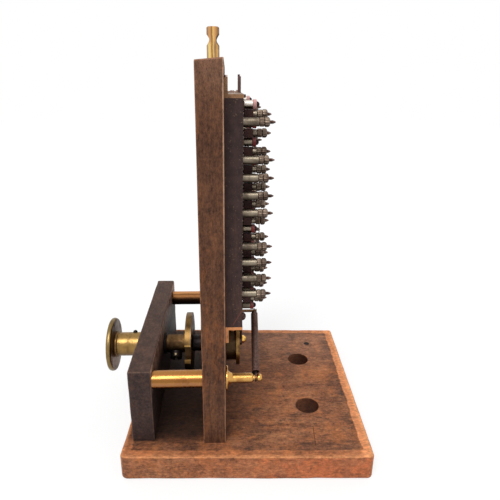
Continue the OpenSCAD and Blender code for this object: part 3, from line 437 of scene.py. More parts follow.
def faceplate_marks(finish):
    """Grey dust and painted light from above on the top, rusty patches, and pale streaks high on the
    back.
    """
    blotch = finish.step(finish.cloud(60, 7, 0.8), 0.40, 0.62)
    # The top is painted lighter: grey dust, and painted light from above.
    finish.cover(finish.step(finish.facing, 0.4, 0.9) * (0.25 + blotch * 0.45), (98, 74, 62))
    finish.cover(finish.step(finish.cloud(110, 7, 0.85, 0.3), 0.52, 0.66) * 0.4, (112, 72, 56))
    streak = finish.step(finish.cloud(70, 7, 0.85, 0.6, finish.stretched((1, 2.4, 0.5))), 0.40, 0.54)
    high = finish.step(finish.along("Z"), 0.076, 0.104) * finish.step(finish.tilt("X"), 0.7, 0.9)
    finish.cover(high * 0.45, (132, 96, 84))
    finish.cover(streak * high * 0.85, (220, 186, 166))


# %% Wood finishes
base_wood = wood("baseboard mahogany", "x", (70, 41, 28), (146, 94, 65), (188, 130, 90),
                 (206, 140, 94), grit=0.6, marks=base_marks)
upright_wood = wood("upright mahogany", "z", (46, 28, 20), (89, 58, 41), (114, 75, 52),
                    (182, 124, 92), worn=0.5, grit=0.55, pored=0.15, marks=upright_marks)
faceplate_wood = wood("faceplate mahogany", "y", (38, 27, 25), (60, 46, 43), (78, 60, 55),
                      (128, 102, 88), worn=0.45, marks=faceplate_marks)
print("made", [finish.name for finish in (base_wood, upright_wood, faceplate_wood)])

# %% [markdown]
# ## Metals
# Turned brass keeps fine rings from the lathe, and old lacquer that has gone olive in patches. The
# pillars and the post are bright, the knob is dull, and the angles have a copper bloom. One recipe
# with different colours covers them all. Nickel plate and blackened steel are near relatives.

# %% One recipe for the metals
TURNED, DRAWN = (1500, 60, 60), (700, 700, 40)


def metal(name, clean, stained, under_dirt_and_shade, bright, dull, metallic=1.0, stain=0.5, tool=TURNED,
          reach=(-0.7, 0.1), marks=None):
    """A metal with tarnish in patches, fine lines from the tool, and a darker underside of dirt and
    painted shade.

    bright and dull are its two roughnesses. reach gives how far up the underside's dirt and painted shade
    come, as the lowest and highest tilt of the surface."""
    finish = Finish(name, metallic=metallic)
    patches = finish.step(finish.cloud(70, 6, 0.62, 0.4), 0.62 - stain * 0.3, 0.80 - stain * 0.2)
    specks = finish.step(finish.cloud(620, 3, 0.6), 0.60, 0.72)
    lines = finish.cloud(1.0, 3, 0.6, 0.0, finish.stretched(tool))
    finish.coat = finish.mix(patches * 0.85, clean, stained)
    finish.cover(specks * 0.4, stained)
    # Faces that look down are painted darker: dirt and painted shade.
    low = 1 - finish.step(finish.facing + (finish.cloud(160, 5, 0.7) - 0.5) * 0.5, *reach)
    finish.cover(low * 0.85, under_dirt_and_shade)
    finish.cover(finish.step(lines, 0.45, 0.62) * 0.15, stained)
    if marks:
        marks(finish)
    finish.give("Base Color", finish.coat)
    finish.give("Roughness", bright + patches * (dull - bright) + specks * 0.12 + lines * 0.08)
    finish.bump(lines + patches * 0.5, 0.00003)
    return finish.material


# %% [markdown]
# ## Marks on single pieces
# Some pieces have marks in known places: painted shade on the knob's back, painted reflections down
# the eye post, painted shade and highlights round the cam's notch, the bare slot of the clamp screw.
# Each mark is a small function that paints over the recipe's coat. It finds its place from the model's
# own coordinates.

# %% Marks on the knob and the eye post
KNOB_T = 5.6 * MM
EYE_HOLE_Z = 404.125 * MM
knob_low, knob_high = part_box("knob")
post_low, post_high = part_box("eye_post")


def knob_back_shade(finish):
    """The disc's back and the ring are painted mauve and dark as shade."""
    behind = finish.along("X") - (knob_low.x + KNOB_T)
    finish.cover(finish.near(behind, 0.0003, 0.0006) * 0.75, (104, 76, 62))
    finish.cover(finish.band(behind, (0.0002, 0.0004), (0.0027, 0.0031)) * 0.65, (96, 70, 48))
    finish.cover((1 - finish.step(behind, -0.0007, -0.0002)) * 0.6, (120, 104, 70))


def eye_post_reflections(finish):
    """Painted reflections as bright and dark lines down the post, and painted shade round its hole."""
    x, y, z = (finish.along(axis) for axis in "XYZ")
    across = (x - post_low.x) / (post_high.x - post_low.x) + (finish.cloud(140, 4, 0.7) - 0.5) * 0.14
    upper = finish.ramp(across, [
        (0.05, (138, 100, 74)), (0.22, (214, 164, 114)), (0.36, (190, 138, 88)), (0.42, (116, 78, 42)),
        (0.52, (242, 196, 122)), (0.74, (196, 140, 90)), (0.95, (108, 78, 60))])
    lower = finish.ramp(across, [
        (0.04, (138, 100, 70)), (0.20, (250, 222, 148)), (0.34, (232, 184, 112)), (0.42, (112, 76, 44)),
        (0.52, (246, 206, 132)), (0.66, (142, 108, 82)), (0.84, (226, 176, 108)), (0.97, (116, 88, 70))])
    turn_over = finish.step(z + finish.cloud(90, 4) * 0.006, 0.402, 0.408)
    # Painted highlight and reflection streaks, one set above and one below.
    finish.cover(0.85, finish.mix(turn_over, lower, upper))
    finish.cover((1 - finish.step(z + finish.cloud(200, 4) * 0.006, 0.386, 0.393)) * 0.6, (160, 126, 104))
    # Painted shade inside and round the cross hole.
    ring = finish.disc(y, z - EYE_HOLE_Z, 0.0051, 0.0062) * finish.step(x, -0.0335, -0.0315)
    finish.cover(ring * 0.9, (36, 26, 24))


# %% Marks on the cam and its clamp screw
NOTCH_TURN, CLAMP_TURN = math.radians(168), math.radians(220)
cam_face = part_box("cam_disc")[1].x
clamp_x = sum(corner.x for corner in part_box("cam_clamp_screw")) / 2


def about_axis(finish, turn):
    """How far out a point lies from the spindle in one direction, and how far to the side of it."""
    y, rise = finish.along("Y"), finish.along("Z") - AXIS_Z
    return (y * math.cos(turn) + rise * math.sin(turn), y * math.sin(turn) - rise * math.cos(turn))


def cam_marks(finish):
    """A notch painted dark as shade, its lips painted bright as highlights, painted shade on the lower
    rim, and a pale scratched face towards the board.
    """
    out, width = about_axis(finish, NOTCH_TURN)
    near = finish.step(out, 0.0200, 0.0240)
    # Painted highlights on the notch's lips.
    finish.cover(near * finish.near(width + 0.0016, 0.0098, 0.0112) * 0.6, (216, 172, 100))
    # Painted shade on the rim below the notch.
    finish.cover(near * (1 - finish.step(width, -0.0136, -0.0122)) * 0.8, (40, 29, 22))
    # The notch's floor is painted dark as shade.
    notch_shade = finish.step(out, 0.0294, 0.0296) * finish.near(width, 0.00715, 0.0074)
    finish.cover(notch_shade * 0.92, (46, 30, 22))
    scratches = finish.step(finish.cloud(260, 5, 0.8, 0.3, finish.stretched((1, 1, 0.3))), 0.40, 0.52)
    face = finish.step(finish.along("X"), cam_face - 0.3 * MM, cam_face - 0.1 * MM) * \
        finish.step(finish.along("Z"), 0.084, 0.100)
    finish.cover(face * scratches * 0.8, (240, 222, 206))


def screw_slot(finish):
    """The clamp screw's slot still shows bare metal."""
    out, _ = about_axis(finish, CLAMP_TURN)
    slot = finish.near(finish.along("X") - clamp_x, 0.0011, 0.0014) * finish.step(out, 0.0135, 0.0142)
    finish.cover(slot * 0.6, (150, 132, 98))


# %% Marks on the pillars and on the highest row
TOP_ROW = 0.336, 0.340


def pillar_painted_reflections(finish):
    """A darker band painted as shade along the near side, and mottled pinkish painted reflections of the
    base below it.
    """
    tilt = finish.facing + (finish.cloud(110, 4) - 0.5) * 0.16
    # A darker band painted as shade.
    finish.cover(finish.band(tilt, (0.10, 0.26), (0.48, 0.66)) * 0.5, (116, 74, 36))
    # Mottled pinkish painted reflections of the baseboard.
    base_reflection = finish.band(tilt, (-0.30, -0.12), (0.08, 0.22))
    mottled = finish.step(finish.cloud(330, 5, 0.8, 0.2, finish.stretched((0.5, 1, 1))), 0.42, 0.58)
    finish.cover(base_reflection * (0.25 + mottled * 0.55), (160, 112, 82))


def lit_top(finish):
    """A painted highlight along the far pillar's top."""
    top = finish.step(finish.facing + (finish.cloud(140, 4) - 0.5) * 0.08, 0.86, 0.95)
    finish.cover(top * 0.9, (210, 152, 98))


def top_row_glare(finish):
    """The highest row is painted near white, as glare from the light."""
    high = finish.step(finish.along("Z"), *TOP_ROW) * finish.step(finish.facing, -0.5, 0.3)
    finish.cover(high * 0.75, (240, 232, 222))


# %% [markdown]
# ## The metal finishes
# A polished metal has almost no colour of its own: it shows its surroundings, tinted. The
# surroundings here are white, so each brass is written at the tone that its middle should have, and
# the sun adds the bright band. The three colours are the clean metal, the stain and the underside's dirt
# and painted shade.

# %% Brass finishes
pillar_brass = metal("pillar brass", (176, 122, 66), (134, 86, 48), (104, 66, 40), 0.20, 0.40,
                     stain=0.4, reach=(-0.75, 0.15), marks=pillar_painted_reflections)
bright_brass = metal("bright brass", (220, 168, 94), (150, 100, 54), (108, 70, 42), 0.20, 0.40,
                     stain=0.35, reach=(-0.5, 0.5))
# The far pillar between the boards is painted dark as shade, below a painted highlight on its top.
far_brass = metal("shaded brass", (118, 80, 47), (112, 74, 45), (38, 26, 21), 0.46, 0.6,
                  stain=0.4, reach=(0.15, 0.62), marks=lit_top)
olive_brass = metal("olive brass", (154, 122, 72), (108, 86, 54), (90, 70, 44), 0.28, 0.46,
                    marks=knob_back_shade)
pin_brass = metal("crank pin brass", (246, 196, 98), (180, 128, 58), (110, 72, 34), 0.18, 0.3, stain=0.2)
post_brass = metal("drawn brass", (206, 158, 92), (120, 84, 50), (120, 84, 50), 0.26, 0.46,
                   tool=DRAWN, marks=eye_post_reflections)
copper_brass = metal("copper tinted brass", (210, 144, 96), (146, 94, 60), (156, 100, 66), 0.36, 0.52)
brown_brass = metal("brown brass", (150, 114, 86), (104, 78, 58), (84, 62, 46), 0.36, 0.52)
cam_brass = metal("cam brass", (120, 92, 54), (70, 52, 34), (42, 30, 20), 0.32, 0.5,
                  stain=0.6, reach=(-0.4, 0.5), marks=cam_marks)
hub_brass = metal("cam hub brass", (122, 92, 58), (64, 47, 32), (36, 26, 19), 0.40, 0.6,
                  stain=0.9, reach=(-0.3, 0.5))
rim_brass = metal("crank rim brass", (168, 132, 78), (94, 72, 44), (70, 52, 32), 0.28, 0.46)
dull_brass = metal("dull brass", (96, 76, 54), (56, 44, 33), (44, 34, 26), 0.38, 0.55)
print("finishes so far", len(bpy.data.materials))

# %% Nickel and steel finishes
NICKEL = (150, 138, 120), (98, 86, 74), (66, 56, 49), 0.32, 0.5
nickel = metal("tarnished nickel", *NICKEL, stain=0.7, reach=(-0.7, 0.3))
sleeve_nickel = metal("sleeve nickel", *NICKEL, stain=0.7, reach=(-0.7, 0.3), marks=top_row_glare)
nut_nickel = metal("dirty nickel", (146, 128, 112), (88, 72, 62), (50, 40, 36), 0.34, 0.55,
                   stain=0.8, reach=(-0.6, 0.4))
stud_nickel = metal("pinkish nickel", (136, 110, 100), (88, 66, 60), (56, 42, 39), 0.34, 0.55,
                    stain=0.8, reach=(-0.6, 0.4))
# The keeper and the top screws are painted pale as highlights.
pale_steel = metal("highlight pale steel", (206, 180, 168), (150, 122, 112), (96, 76, 70), 0.32, 0.5)
slide_steel = metal("slide steel", (112, 88, 84), (68, 52, 50), (52, 39, 37), 0.34, 0.5, metallic=0.85)
black_steel = metal("blackened steel", (40, 32, 32), (24, 19, 19), (18, 14, 14), 0.40, 0.6,
                    metallic=0.8)
clamp_steel = metal("clamp screw steel", (34, 28, 28), (22, 18, 18), (16, 13, 13), 0.42, 0.6,
                    metallic=0.8, marks=screw_slot)
print("finishes so far", len(bpy.data.materials))

# %% [markdown]
# ## Spring wire
# Close coils read as light ridges with black gaps. The gaps could be left to shadow, but soft light
# fills them, so they are painted black as shade, and the ridges get a painted highlight. The spring's
# mesh therefore carries a value that is 1 on the outside of each coil.


# %% Spring wire finish
def coil_gaps(finish):
    """A painted highlight on the outside of each coil, and painted shade, black, between them."""
    outward = finish.wear()
    # Painted shade between the coils.
    finish.cover(1 - finish.step(outward, 0.25, 0.80), (22, 16, 15))
    # Painted highlight on the outside of each coil.
    finish.cover(finish.step(outward, 0.86, 1.0) * 0.6, (168, 132, 116))


spring_steel = metal("browned spring wire", (112, 84, 76), (74, 54, 48), (60, 44, 40), 0.42, 0.6,
                     metallic=0.7, marks=coil_gaps)
print("made", spring_steel.name)

# %% [markdown]
# ## Board, fibre and insulating blocks
# The terminal panel is a very dark board with a faint purple tone. The red fibre and the maroon
# blocks are paper based, so they have a soft sheen and small pale scuffs.


# %% Recipe for board and fibre
def fibre(name, body, dark, pale, marks=None):
    """A dull board whose surface is mottled and a little scuffed."""
    finish = Finish(name, specular=0.2)
    mottle = finish.cloud(150, 5, 0.6)
    finish.coat = finish.ramp(mottle, [(0.3, dark), (0.6, body)])
    scuffs = finish.step(finish.cloud(420, 5, 0.7) + finish.wear() * 0.25, 0.62, 0.82)
    finish.cover(scuffs * 0.5, pale)
    finish.cover(finish.step(finish.cloud(700, 3, 0.6), 0.66, 0.74) * 0.6, pale)
    if marks:
        marks(finish)
    finish.give("Base Color", finish.coat)
    finish.give("Roughness", 0.55 + mottle * 0.15)
    finish.bump(mottle - scuffs * 0.6, 0.00008)
    return finish.material


# %% Panel and fibre finishes
LINE_AT, LINE_LEAN = (-16.97 * MM, 154.05 * MM), math.radians(28.78)


def panel_marks(finish):
    """Brown streaks, fine dust, and a faint red line aslant near the foot of the near edge."""
    x, z = finish.along("X"), finish.along("Z")
    grain = finish.cloud(60, 6, 0.8, 0.3, finish.stretched((1, 1, 0.12)))
    finish.cover(finish.step(grain, 0.48, 0.60) * 0.3, (96, 66, 56))
    finish.cover(finish.step(finish.cloud(560, 3, 0.6), 0.62, 0.70) * 0.3, (160, 128, 100))
    aside = (x - LINE_AT[0]) * math.cos(LINE_LEAN) - (z - LINE_AT[1]) * math.sin(LINE_LEAN)
    line = finish.near(aside, 0.0002, 0.0008) * finish.band(z, (0.150, 0.153), (0.168, 0.172))
    near_edge = 1 - finish.step(finish.tilt("Y"), -0.95, -0.80)
    finish.cover(line * near_edge * 0.28, (150, 82, 66))


def fibre_painted_light(finish):
    """Red fibre is painted paler on upward faces as light from above, and palest in the top row as glare.
    """
    lit = finish.step(finish.facing, 0.0, 0.8) * 0.25
    finish.cover(lit + finish.step(finish.along("Z"), *TOP_ROW) * 0.6, (220, 172, 168))


panel_black = fibre("dark panel", (64, 47, 44), (46, 33, 32), (98, 76, 68), marks=panel_marks)
red_fibre = fibre("red fibre", (134, 52, 48), (84, 32, 31), (186, 112, 104), marks=fibre_painted_light)
maroon_fibre = fibre("maroon block", (74, 46, 42), (44, 28, 27), (120, 92, 86))
print("finishes so far", len(bpy.data.materials))

# %% [markdown]
# ## Helpers that read places from the model
# A row of nuts is one node with many solids. Instead of writing their places again, a helper
# splits the node's mesh into its separate solids and gives the box of each. The detailed nuts
# then stand exactly where the measured ones do.


# %% Boxes of a node's separate solids
def welded(node):
    """A node's mesh with its doubled corners joined."""
    mesh = bmesh.new()
    mesh.from_mesh(nodes[node].data)
    bmesh.ops.remove_doubles(mesh, verts=mesh.verts, dist=1e-6)
    return mesh


def solids_of(node):
    """The lowest and highest corner of each separate solid of a node."""
    mesh = welded(node)
    unseen = set(mesh.verts)
    boxes = []
    while unseen:
        stack, low, high = [unseen.pop()], Vector((9, 9, 9)), Vector((-9, -9, -9))
        while stack:
            vert = stack.pop()
            low = Vector(map(min, low, vert.co))
            high = Vector(map(max, high, vert.co))
            for edge in vert.link_edges:
                other = edge.other_vert(vert)
                if other in unseen:
                    unseen.discard(other)
                    stack.append(other)
        boxes.append((low, high))
    mesh.free()
    return sorted(boxes, key=lambda box: tuple(box[0]))


def middle(box):
    return (box[0].y + box[1].y) / 2, (box[0].z + box[1].z) / 2


def radius_of(box):
    return (box[1].z - box[0].z) / 2


# %% [markdown]
# ## From mesh to piece
# Every piece needs the same last steps: outward normals, smooth shading with sharp corners, a
# material, the body it moves with and the node it stands for. One helper does them all, so that no
# piece can miss one.

# %% Put a finished mesh in the scene
SHARP_ANGLE = math.radians(35)


def smoothed(data):
    """Smooth shading on every face, and sharp edges where two faces meet at a corner."""
    for face in data.polygons:
        face.use_smooth = True
    data.set_sharp_from_angle(angle=SHARP_ANGLE)


def settle(name, mesh, material, node, body="stand"):
    """Turn a bmesh into a piece that stands for one node and moves with its body."""
    bmesh.ops.recalc_face_normals(mesh, faces=mesh.faces)
    data = stored(name, mesh)
    data.materials.append(material)
    smoothed(data)
    piece = put_in_scene(name, data)
    if body:
        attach(piece, body)
    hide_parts(node)
    print("made", name, "for", node, "with", len(data.polygons), "faces")
    return piece


def flat_faces(piece):
    """Let large faces decide the shading, so that small chamfers don't bend it."""
    weigh = piece.modifiers.new("flat faces", "WEIGHTED_NORMAL")
    weigh.keep_sharp = True


# %% [markdown]
# ## Turned pieces
# A lathe makes a shape from one outline. The helper turns a list of (x, radius) points about a
# line along X, and can make the radius depend on the angle too, which gives knurling. Corners are
# written as two close points, so that each one catches a thin line of light.


# %% The lathe
def lathe(mesh, outline, y, z, sides, knurl=None, spin=0.0):
    """Add one turned solid to mesh. The outline's first and last points lie on the axis."""
    rings = []
    for x, radius in outline:
        if radius < 1e-9:
            rings.append([mesh.verts.new((x, y, z))])
            continue
        ring = []
        for i in range(sides):
            angle = 2 * math.pi * i / sides + spin
            r = radius + (knurl(angle) if knurl else 0)
            ring.append(mesh.verts.new((x, y + r * math.cos(angle), z + r * math.sin(angle))))
        rings.append(ring)
    for one, two in zip(rings, rings[1:]):
        for i in range(sides):
            j = (i + 1) % sides
            corners = [one[i % len(one)], one[j % len(one)], two[j % len(two)], two[i % len(two)]]
            corners = list(dict.fromkeys(corners))
            if len(corners) > 2:
                mesh.faces.new(corners)


def chamfered(start, end, radius, chamfer):
    """The outline of a plain cylinder with broken edges."""
    return [(start, 0), (start, radius - chamfer), (start + chamfer * 0.35, radius - chamfer * 0.3),
            (start + chamfer, radius), (end - chamfer, radius),
            (end - chamfer * 0.35, radius - chamfer * 0.3), (end, radius - chamfer), (end, 0)]


print("lathe ready, a plain bar has", len(chamfered(0, 1, 1, 0.1)), "outline points")


# %% A turned piece for each solid of a node
def turned_set(node, material, outline_of, sides, knurl=None):
    """Turn one outline for each solid of a node, each at its own small angle."""
    mesh = bmesh.new()
    rng = random.Random(node)
    for box in solids_of(node):
        y, z = middle(box)
        lathe(mesh, outline_of(box), y, z, sides, knurl, rng.random())
    flat_faces(settle(node + "_turned", mesh, material, node))


# %% [markdown]
# ## Softened copies
# Angles, screws and slotted heads already have the right shape, and only lack the small round that
# every real edge has. For these the measured mesh is copied, its triangles are joined back into
# flat faces, and a Bevel modifier rounds the edges.


# %% Copy a node with rounded edges
def softened(node, material, width, body="stand", segments=2):
    """A copy of one node whose edges are rounded by width, in millimetres."""
    mesh = welded(node)
    bmesh.ops.dissolve_limit(mesh, angle_limit=math.radians(1), verts=mesh.verts, edges=mesh.edges)
    piece = settle(node + "_soft", mesh, material, node, body)
    bevel = piece.modifiers.new("edges", "BEVEL")
    bevel.width = width * MM
    bevel.segments = segments
    bevel.limit_method = "ANGLE"
    bevel.angle_limit = math.radians(40)
    bevel.harden_normals = True


# %% [markdown]
# ## Boards
# A board is a box whose edges have been knocked and rubbed for a century. It is built as a closed
# grid with lines crowded near the edges. Each point is pulled onto a rounded box, and noise makes
# the radius wander, so that no arris is straight. The wear value is stored at the same time.


# %% A worn board
def crowded(low, high, edge, count):
    """Places from low to high, close together within edge of both ends."""
    near = [0, 0.1, 0.22, 0.36, 0.52, 0.7, 0.85, 1.0]
    inner = [low + edge + (high - low - 2 * edge) * i / count for i in range(1, count)]
    return [low + edge * n for n in near] + inner + [high - edge * n for n in reversed(near)]


def worn_board(low, high, flat, corners, edge_r, wander, counts, seed):
    """A board whose flat axis is its thickness, with rounded corners and rubbed edges.

    corners gives the corner radius at the low and at the high end of the board's second side."""
    mesh = bmesh.new()
    wear = mesh.verts.layers.float.new("wear")
    u, v = (flat + 1) % 3, (flat + 2) % 3
    reach = [max(corners) * 1.25] * 3
    reach[flat] = edge_r * 1.8
    lines = [crowded(low[i], high[i], reach[i], counts[i]) for i in range(3)]
    centre = [(low[i] + high[i]) / 2 for i in range(3)]
    half = [(high[i] - low[i]) / 2 for i in range(3)]
    shift = Vector((seed * 7.3, seed * 3.1, seed * 5.7))
    made = {}

    def corner(index):
        if index in made:
            return made[index]
        point = Vector([lines[i][index[i]] for i in range(3)])
        drift = noise.noise(point * 55 + shift) + 0.5 * noise.noise(point * 170 + shift)
        r = max(0.0003, edge_r * (1 + wander * drift))
        away = [point[i] - centre[i] for i in range(3)]
        corner_r = corners[0] if away[v] < 0 else corners[1]
        core = [max(-(half[i] - corner_r), min(half[i] - corner_r, away[i])) for i in range(3)]
        du, dv = away[u] - core[u], away[v] - core[v]
        out = max(abs(du), abs(dv))
        length = math.hypot(du, dv)
        side, rise = out - (corner_r - r), abs(away[flat]) - (half[flat] - r)
        if side > 0 and rise > 0:
            spread = math.hypot(side, rise)
            side, rise = side * r / spread, rise * r / spread
            out = corner_r - r + side
            point[flat] = centre[flat] + math.copysign(half[flat] - r + rise, away[flat])
        if length > 1e-9:
            point[u] = centre[u] + core[u] + du / length * out
            point[v] = centre[v] + core[v] + dv / length * out
        vert = mesh.verts.new(point)
        gaps = sorted(half[i] - abs(away[i]) for i in range(3))
        vert[wear] = max(0.0, 1 - gaps[1] / (edge_r * 1.7))
        made[index] = vert
        return vert

    sizes = [len(line) for line in lines]
    for axis in range(3):
        a, b = (axis + 1) % 3, (axis + 2) % 3
        for end in (0, sizes[axis] - 1):
            for i in range(sizes[a] - 1):
                for j in range(sizes[b] - 1):
                    loop = []
                    for da, db in ((0, 0), (1, 0), (1, 1), (0, 1)):
                        index = [0, 0, 0]
                        index[axis], index[a], index[b] = end, i + da, j + db
                        loop.append(corner(tuple(index)))
                    mesh.faces.new(loop)
    return mesh


# %% [markdown]
# ## Holes
# The boards are bored for the spindle, the pillars and the cables. The grid could be built round
# each hole, but a Boolean modifier is simpler and gives a clean bore. It is applied at once, and the
# wear value is set to zero on the new walls, which take a wrong value from the cut.


# %% Cut round holes in a piece
def drill(piece, holes):
    """Cut turned holes, each an outline of (distance along, radius) about a point and an axis."""
    mesh = bmesh.new()
    for outline, place, axis in holes:
        own = bmesh.new()
        lathe(own, outline, 0, 0, 72)
        turn = Vector((1, 0, 0)).rotation_difference(Vector(axis)).to_matrix().to_4x4()
        bmesh.ops.transform(own, matrix=Matrix.Translation(place) @ turn, verts=own.verts)
        bmesh.ops.recalc_face_normals(own, faces=own.faces)
        data = stored("hole", own)
        mesh.from_mesh(data)
        bpy.data.meshes.remove(data)
    cutter = put_in_scene("holes", stored("holes", mesh))
    cut = piece.modifiers.new("holes", "BOOLEAN")
    cut.operation = "DIFFERENCE"
    cut.solver = "EXACT"
    cut.object = cutter
    bpy.context.view_layer.update()
    result = bpy.data.meshes.new_from_object(
        piece.evaluated_get(bpy.context.evaluated_depsgraph_get()))
    piece.modifiers.remove(cut)
    piece.data = result
    wear = result.attributes["wear"].data
    for vert in result.vertices:
        for outline, place, axis in holes:
            aside = vert.co - Vector(place)
            aside = aside - aside.dot(Vector(axis)) * Vector(axis)
            if aside.length < max(radius for _, radius in outline) + 0.3 * MM:
                wear[vert.index].value = 0.0
    bpy.data.objects.remove(cutter)
    smoothed(result)
    flat_faces(piece)


# %% [markdown]
# ## The baseboard
# The base stands slightly out of square with the works, as it does in the photograph. It is built
# square, turned with its holes, and then set in place. Two one inch cable holes have a soft lip.

# %% Baseboard
HALF_BASE, LIP = BASE_SIDE / 2, 0.8 * MM
base_mesh = worn_board((-HALF_BASE, -HALF_BASE, 0), (HALF_BASE, HALF_BASE, BASE_T), 2,
                       (6 * MM, 3 * MM), 2.2 * MM, 0.5, (24, 24, 4), 1)
bmesh.ops.transform(base_mesh, matrix=base_turn, verts=base_mesh.verts)
baseboard = settle("baseboard_worn", base_mesh, base_wood, "baseboard", body=None)
cable_hole = [(-BASE_T - MM, 0), (-BASE_T - MM, CABLE_HOLE_R), (-LIP, CABLE_HOLE_R),
              (-LIP * 0.3, CABLE_HOLE_R + LIP * 0.3), (0, CABLE_HOLE_R + LIP),
              (MM, CABLE_HOLE_R + 2 * LIP), (MM, 0)]
drill(baseboard, [(cable_hole, place, (0, 0, 1)) for place in cable_holes])
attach(baseboard, "stand")
print("baseboard", len(baseboard.data.polygons), "faces")

# %% [markdown]
# ## Upright and faceplate
# These two boards stand on end on the base. Both are plain boards with bored holes, so one helper
# makes them. In the photograph neither upper edge is quite square: the upright's rises to the back,
# and the faceplate's rises a little towards its far end, which is also slightly longer.

# %% Upright and faceplate
PILLAR_Y, PILLAR_Z = 91.5 * MM, 93.5 * MM
BUSH_R, PILLAR_SCREW_R = 8.02 * MM, 3.02 * MM
board_holes = [(0, AXIS_Z, BUSH_R)] + [(side * PILLAR_Y, PILLAR_Z, PILLAR_SCREW_R) for side in (-1, 1)]


def board_of(node, name, corners, edge_r, counts, seed, material,
             back_rise=0.0, far_rise=0.0, longer=0.0):
    """A board that stands on the base, with an upper edge that was never planed quite square."""
    low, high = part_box(node)
    high = high + Vector((0, longer, 0))
    mesh = worn_board(low, high, 0, corners, edge_r, 0.6, counts, seed)
    for vert in mesh.verts:
        if vert.co.z > high.z - 6 * MM:
            back = (vert.co.x - low.x) / (high.x - low.x)
            away = (vert.co.y - low.y) / (high.y - low.y)
            # The first share goes from -0.42 at the front to 1 at the back.
            vert.co.z += back_rise * (back * 3.4 - 1) / 2.4 + far_rise * away
    board = settle(name, mesh, material, node, body=None)
    length = high.x - low.x + 2 * MM
    drill(board, [([(0, 0), (0, r), (length, r), (length, 0)], Vector((low.x - MM, y, z)), (1, 0, 0))
                  for y, z, r in board_holes])
    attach(board, "stand")
    return board


upright = board_of("upright_board", "upright_worn", (0.8 * MM, 2.2 * MM), 1.3 * MM, (4, 22, 36), 2,
                   upright_wood, back_rise=1.5 * MM)
faceplate = board_of("faceplate_board", "faceplate_worn", (0.8 * MM, 3 * MM), 1.8 * MM, (4, 22, 10), 3,
                     faceplate_wood, far_rise=1.6 * MM, longer=3.5 * MM)
print("boards with holes", len(upright.data.polygons), len(faceplate.data.polygons), "faces")

# %% [markdown]
# ## World
# The photograph was lit softly, mostly from above, on pure white. The world is a grey that
# brightens upwards, like a room with a pale ceiling. A softer result could come from area lamps,
# but those would show as squares in the brass. The camera, reflections and glass see plain white
# instead of that light.

# %% World
WORLD_BELOW, WORLD_LEVEL, WORLD_ABOVE = 0.30, 0.46, 0.86
world = bpy.data.worlds.new("studio")
bpy.context.scene.world = world
world.use_nodes = True
studio = NodeTree(world.node_tree)
height = studio.node("SeparateXYZ", inputs={0: studio.node("TexCoord", out="Generated")}, out="Z")
fade = studio.node("ValToRGB", {"stops": [
    (0, grey(WORLD_BELOW)), (0.5, grey(WORLD_LEVEL)), (1, grey(WORLD_ABOVE))]}, {0: height * 0.5 + 0.5})
studio.feed(studio.raw.nodes["Background"].inputs["Color"], fade)
studio.show("World Output", studio.node("Background", inputs={"Color": grey(1)}), "Background")
print("world levels", WORLD_BELOW, WORLD_LEVEL, WORLD_ABOVE)

# %% [markdown]
# ## Floor
# The floor is pale and lit like everything else. To the camera it is mostly glow with a share of
# real shading, so it looks white and still keeps the object's shadow.

# %% Floor
SEEN_FLOOR, FLOOR_GLOW, FLOOR_HALF, FLOOR_BELOW = 0.33, 0.67, 4, 0.2 * MM
floor_mesh = bmesh.new()
bmesh.ops.create_grid(floor_mesh, x_segments=8, y_segments=8, size=FLOOR_HALF)
floor = put_in_scene("floor", stored("floor", floor_mesh))
floor.location.z = -FLOOR_BELOW
floor_finish = Finish("pale floor", specular=0.1)
floor_finish.give("Base Color", grey(0.8))
floor_finish.give("Roughness", 0.9)
shaded = floor_finish.node("BsdfDiffuse", inputs={"Color": grey(SEEN_FLOOR)})
glow = floor_finish.node("Emission", inputs={"Strength": FLOOR_GLOW})
both = floor_finish.node("AddShader", inputs={0: shaded, 1: glow})
floor_finish.show("Material Output", both, "Principled BSDF")
floor.data.materials.append(floor_finish.material)
print("floor shade", SEEN_FLOOR, "and glow", FLOOR_GLOW)

# %% [markdown]
# ## Sun
# One wide sun from the front left gives the brass its bright bands. A lamp nearby would do the same,
# but a sun lights the whole floor evenly, so that no horizon shows.

# %% Sun
SUN_STRENGTH, SUN_WIDTH, SUN_HEADING = 1.7, math.radians(32), Vector((0.28, 0.62, -0.95))
sun_data = bpy.data.lights.new("soft sun", "SUN")
sun_data.energy = SUN_STRENGTH
sun_data.angle = SUN_WIDTH
sun = put_in_scene("soft sun", sun_data)
sun.rotation_euler = SUN_HEADING.to_track_quat("-Z", "Y").to_euler()
print("sun strength", SUN_STRENGTH)

# %% [markdown]
# ## Knob
# The knob is one turned piece: a disc with rounded rims and a shallow dish, a ring against it and a
# long hub. Its outline is written from the disc's face to the hub's end.

# %% Knob
HUB_R, KNOB_R = 13.5 * MM, radius_of((knob_low, knob_high))


def knob_outline(x0, x1):
    back = x0 + KNOB_T
    rim = [(x0 + 2.8 * MM - 2.8 * MM * math.cos(math.radians(a)),
            KNOB_R - 1.6 * MM + 1.6 * MM * math.sin(math.radians(a))) for a in range(0, 181, 15)]
    return ([(x0 + 1.0 * MM, 0), (x0 + 1.0 * MM, 9 * MM), (x0 + 0.5 * MM, 16 * MM),
             (x0 + 0.1 * MM, 24 * MM)] + rim
            + [(back, 24 * MM), (back, HUB_R + 1.9 * MM), (back + 0.3 * MM, HUB_R + 1.5 * MM),
               (back + 2.2 * MM, HUB_R + 1.5 * MM), (back + 2.8 * MM, HUB_R + 1.1 * MM),
               (back + 3.0 * MM, HUB_R + 0.2 * MM), (back + 3.4 * MM, HUB_R),
               (x1 - 0.8 * MM, HUB_R), (x1 - 0.2 * MM, HUB_R - 0.3 * MM), (x1, HUB_R - 0.9 * MM),
               (x1, 4.8 * MM), (x1 - 3 * MM, 4.8 * MM), (x1 - 3 * MM, 0)])


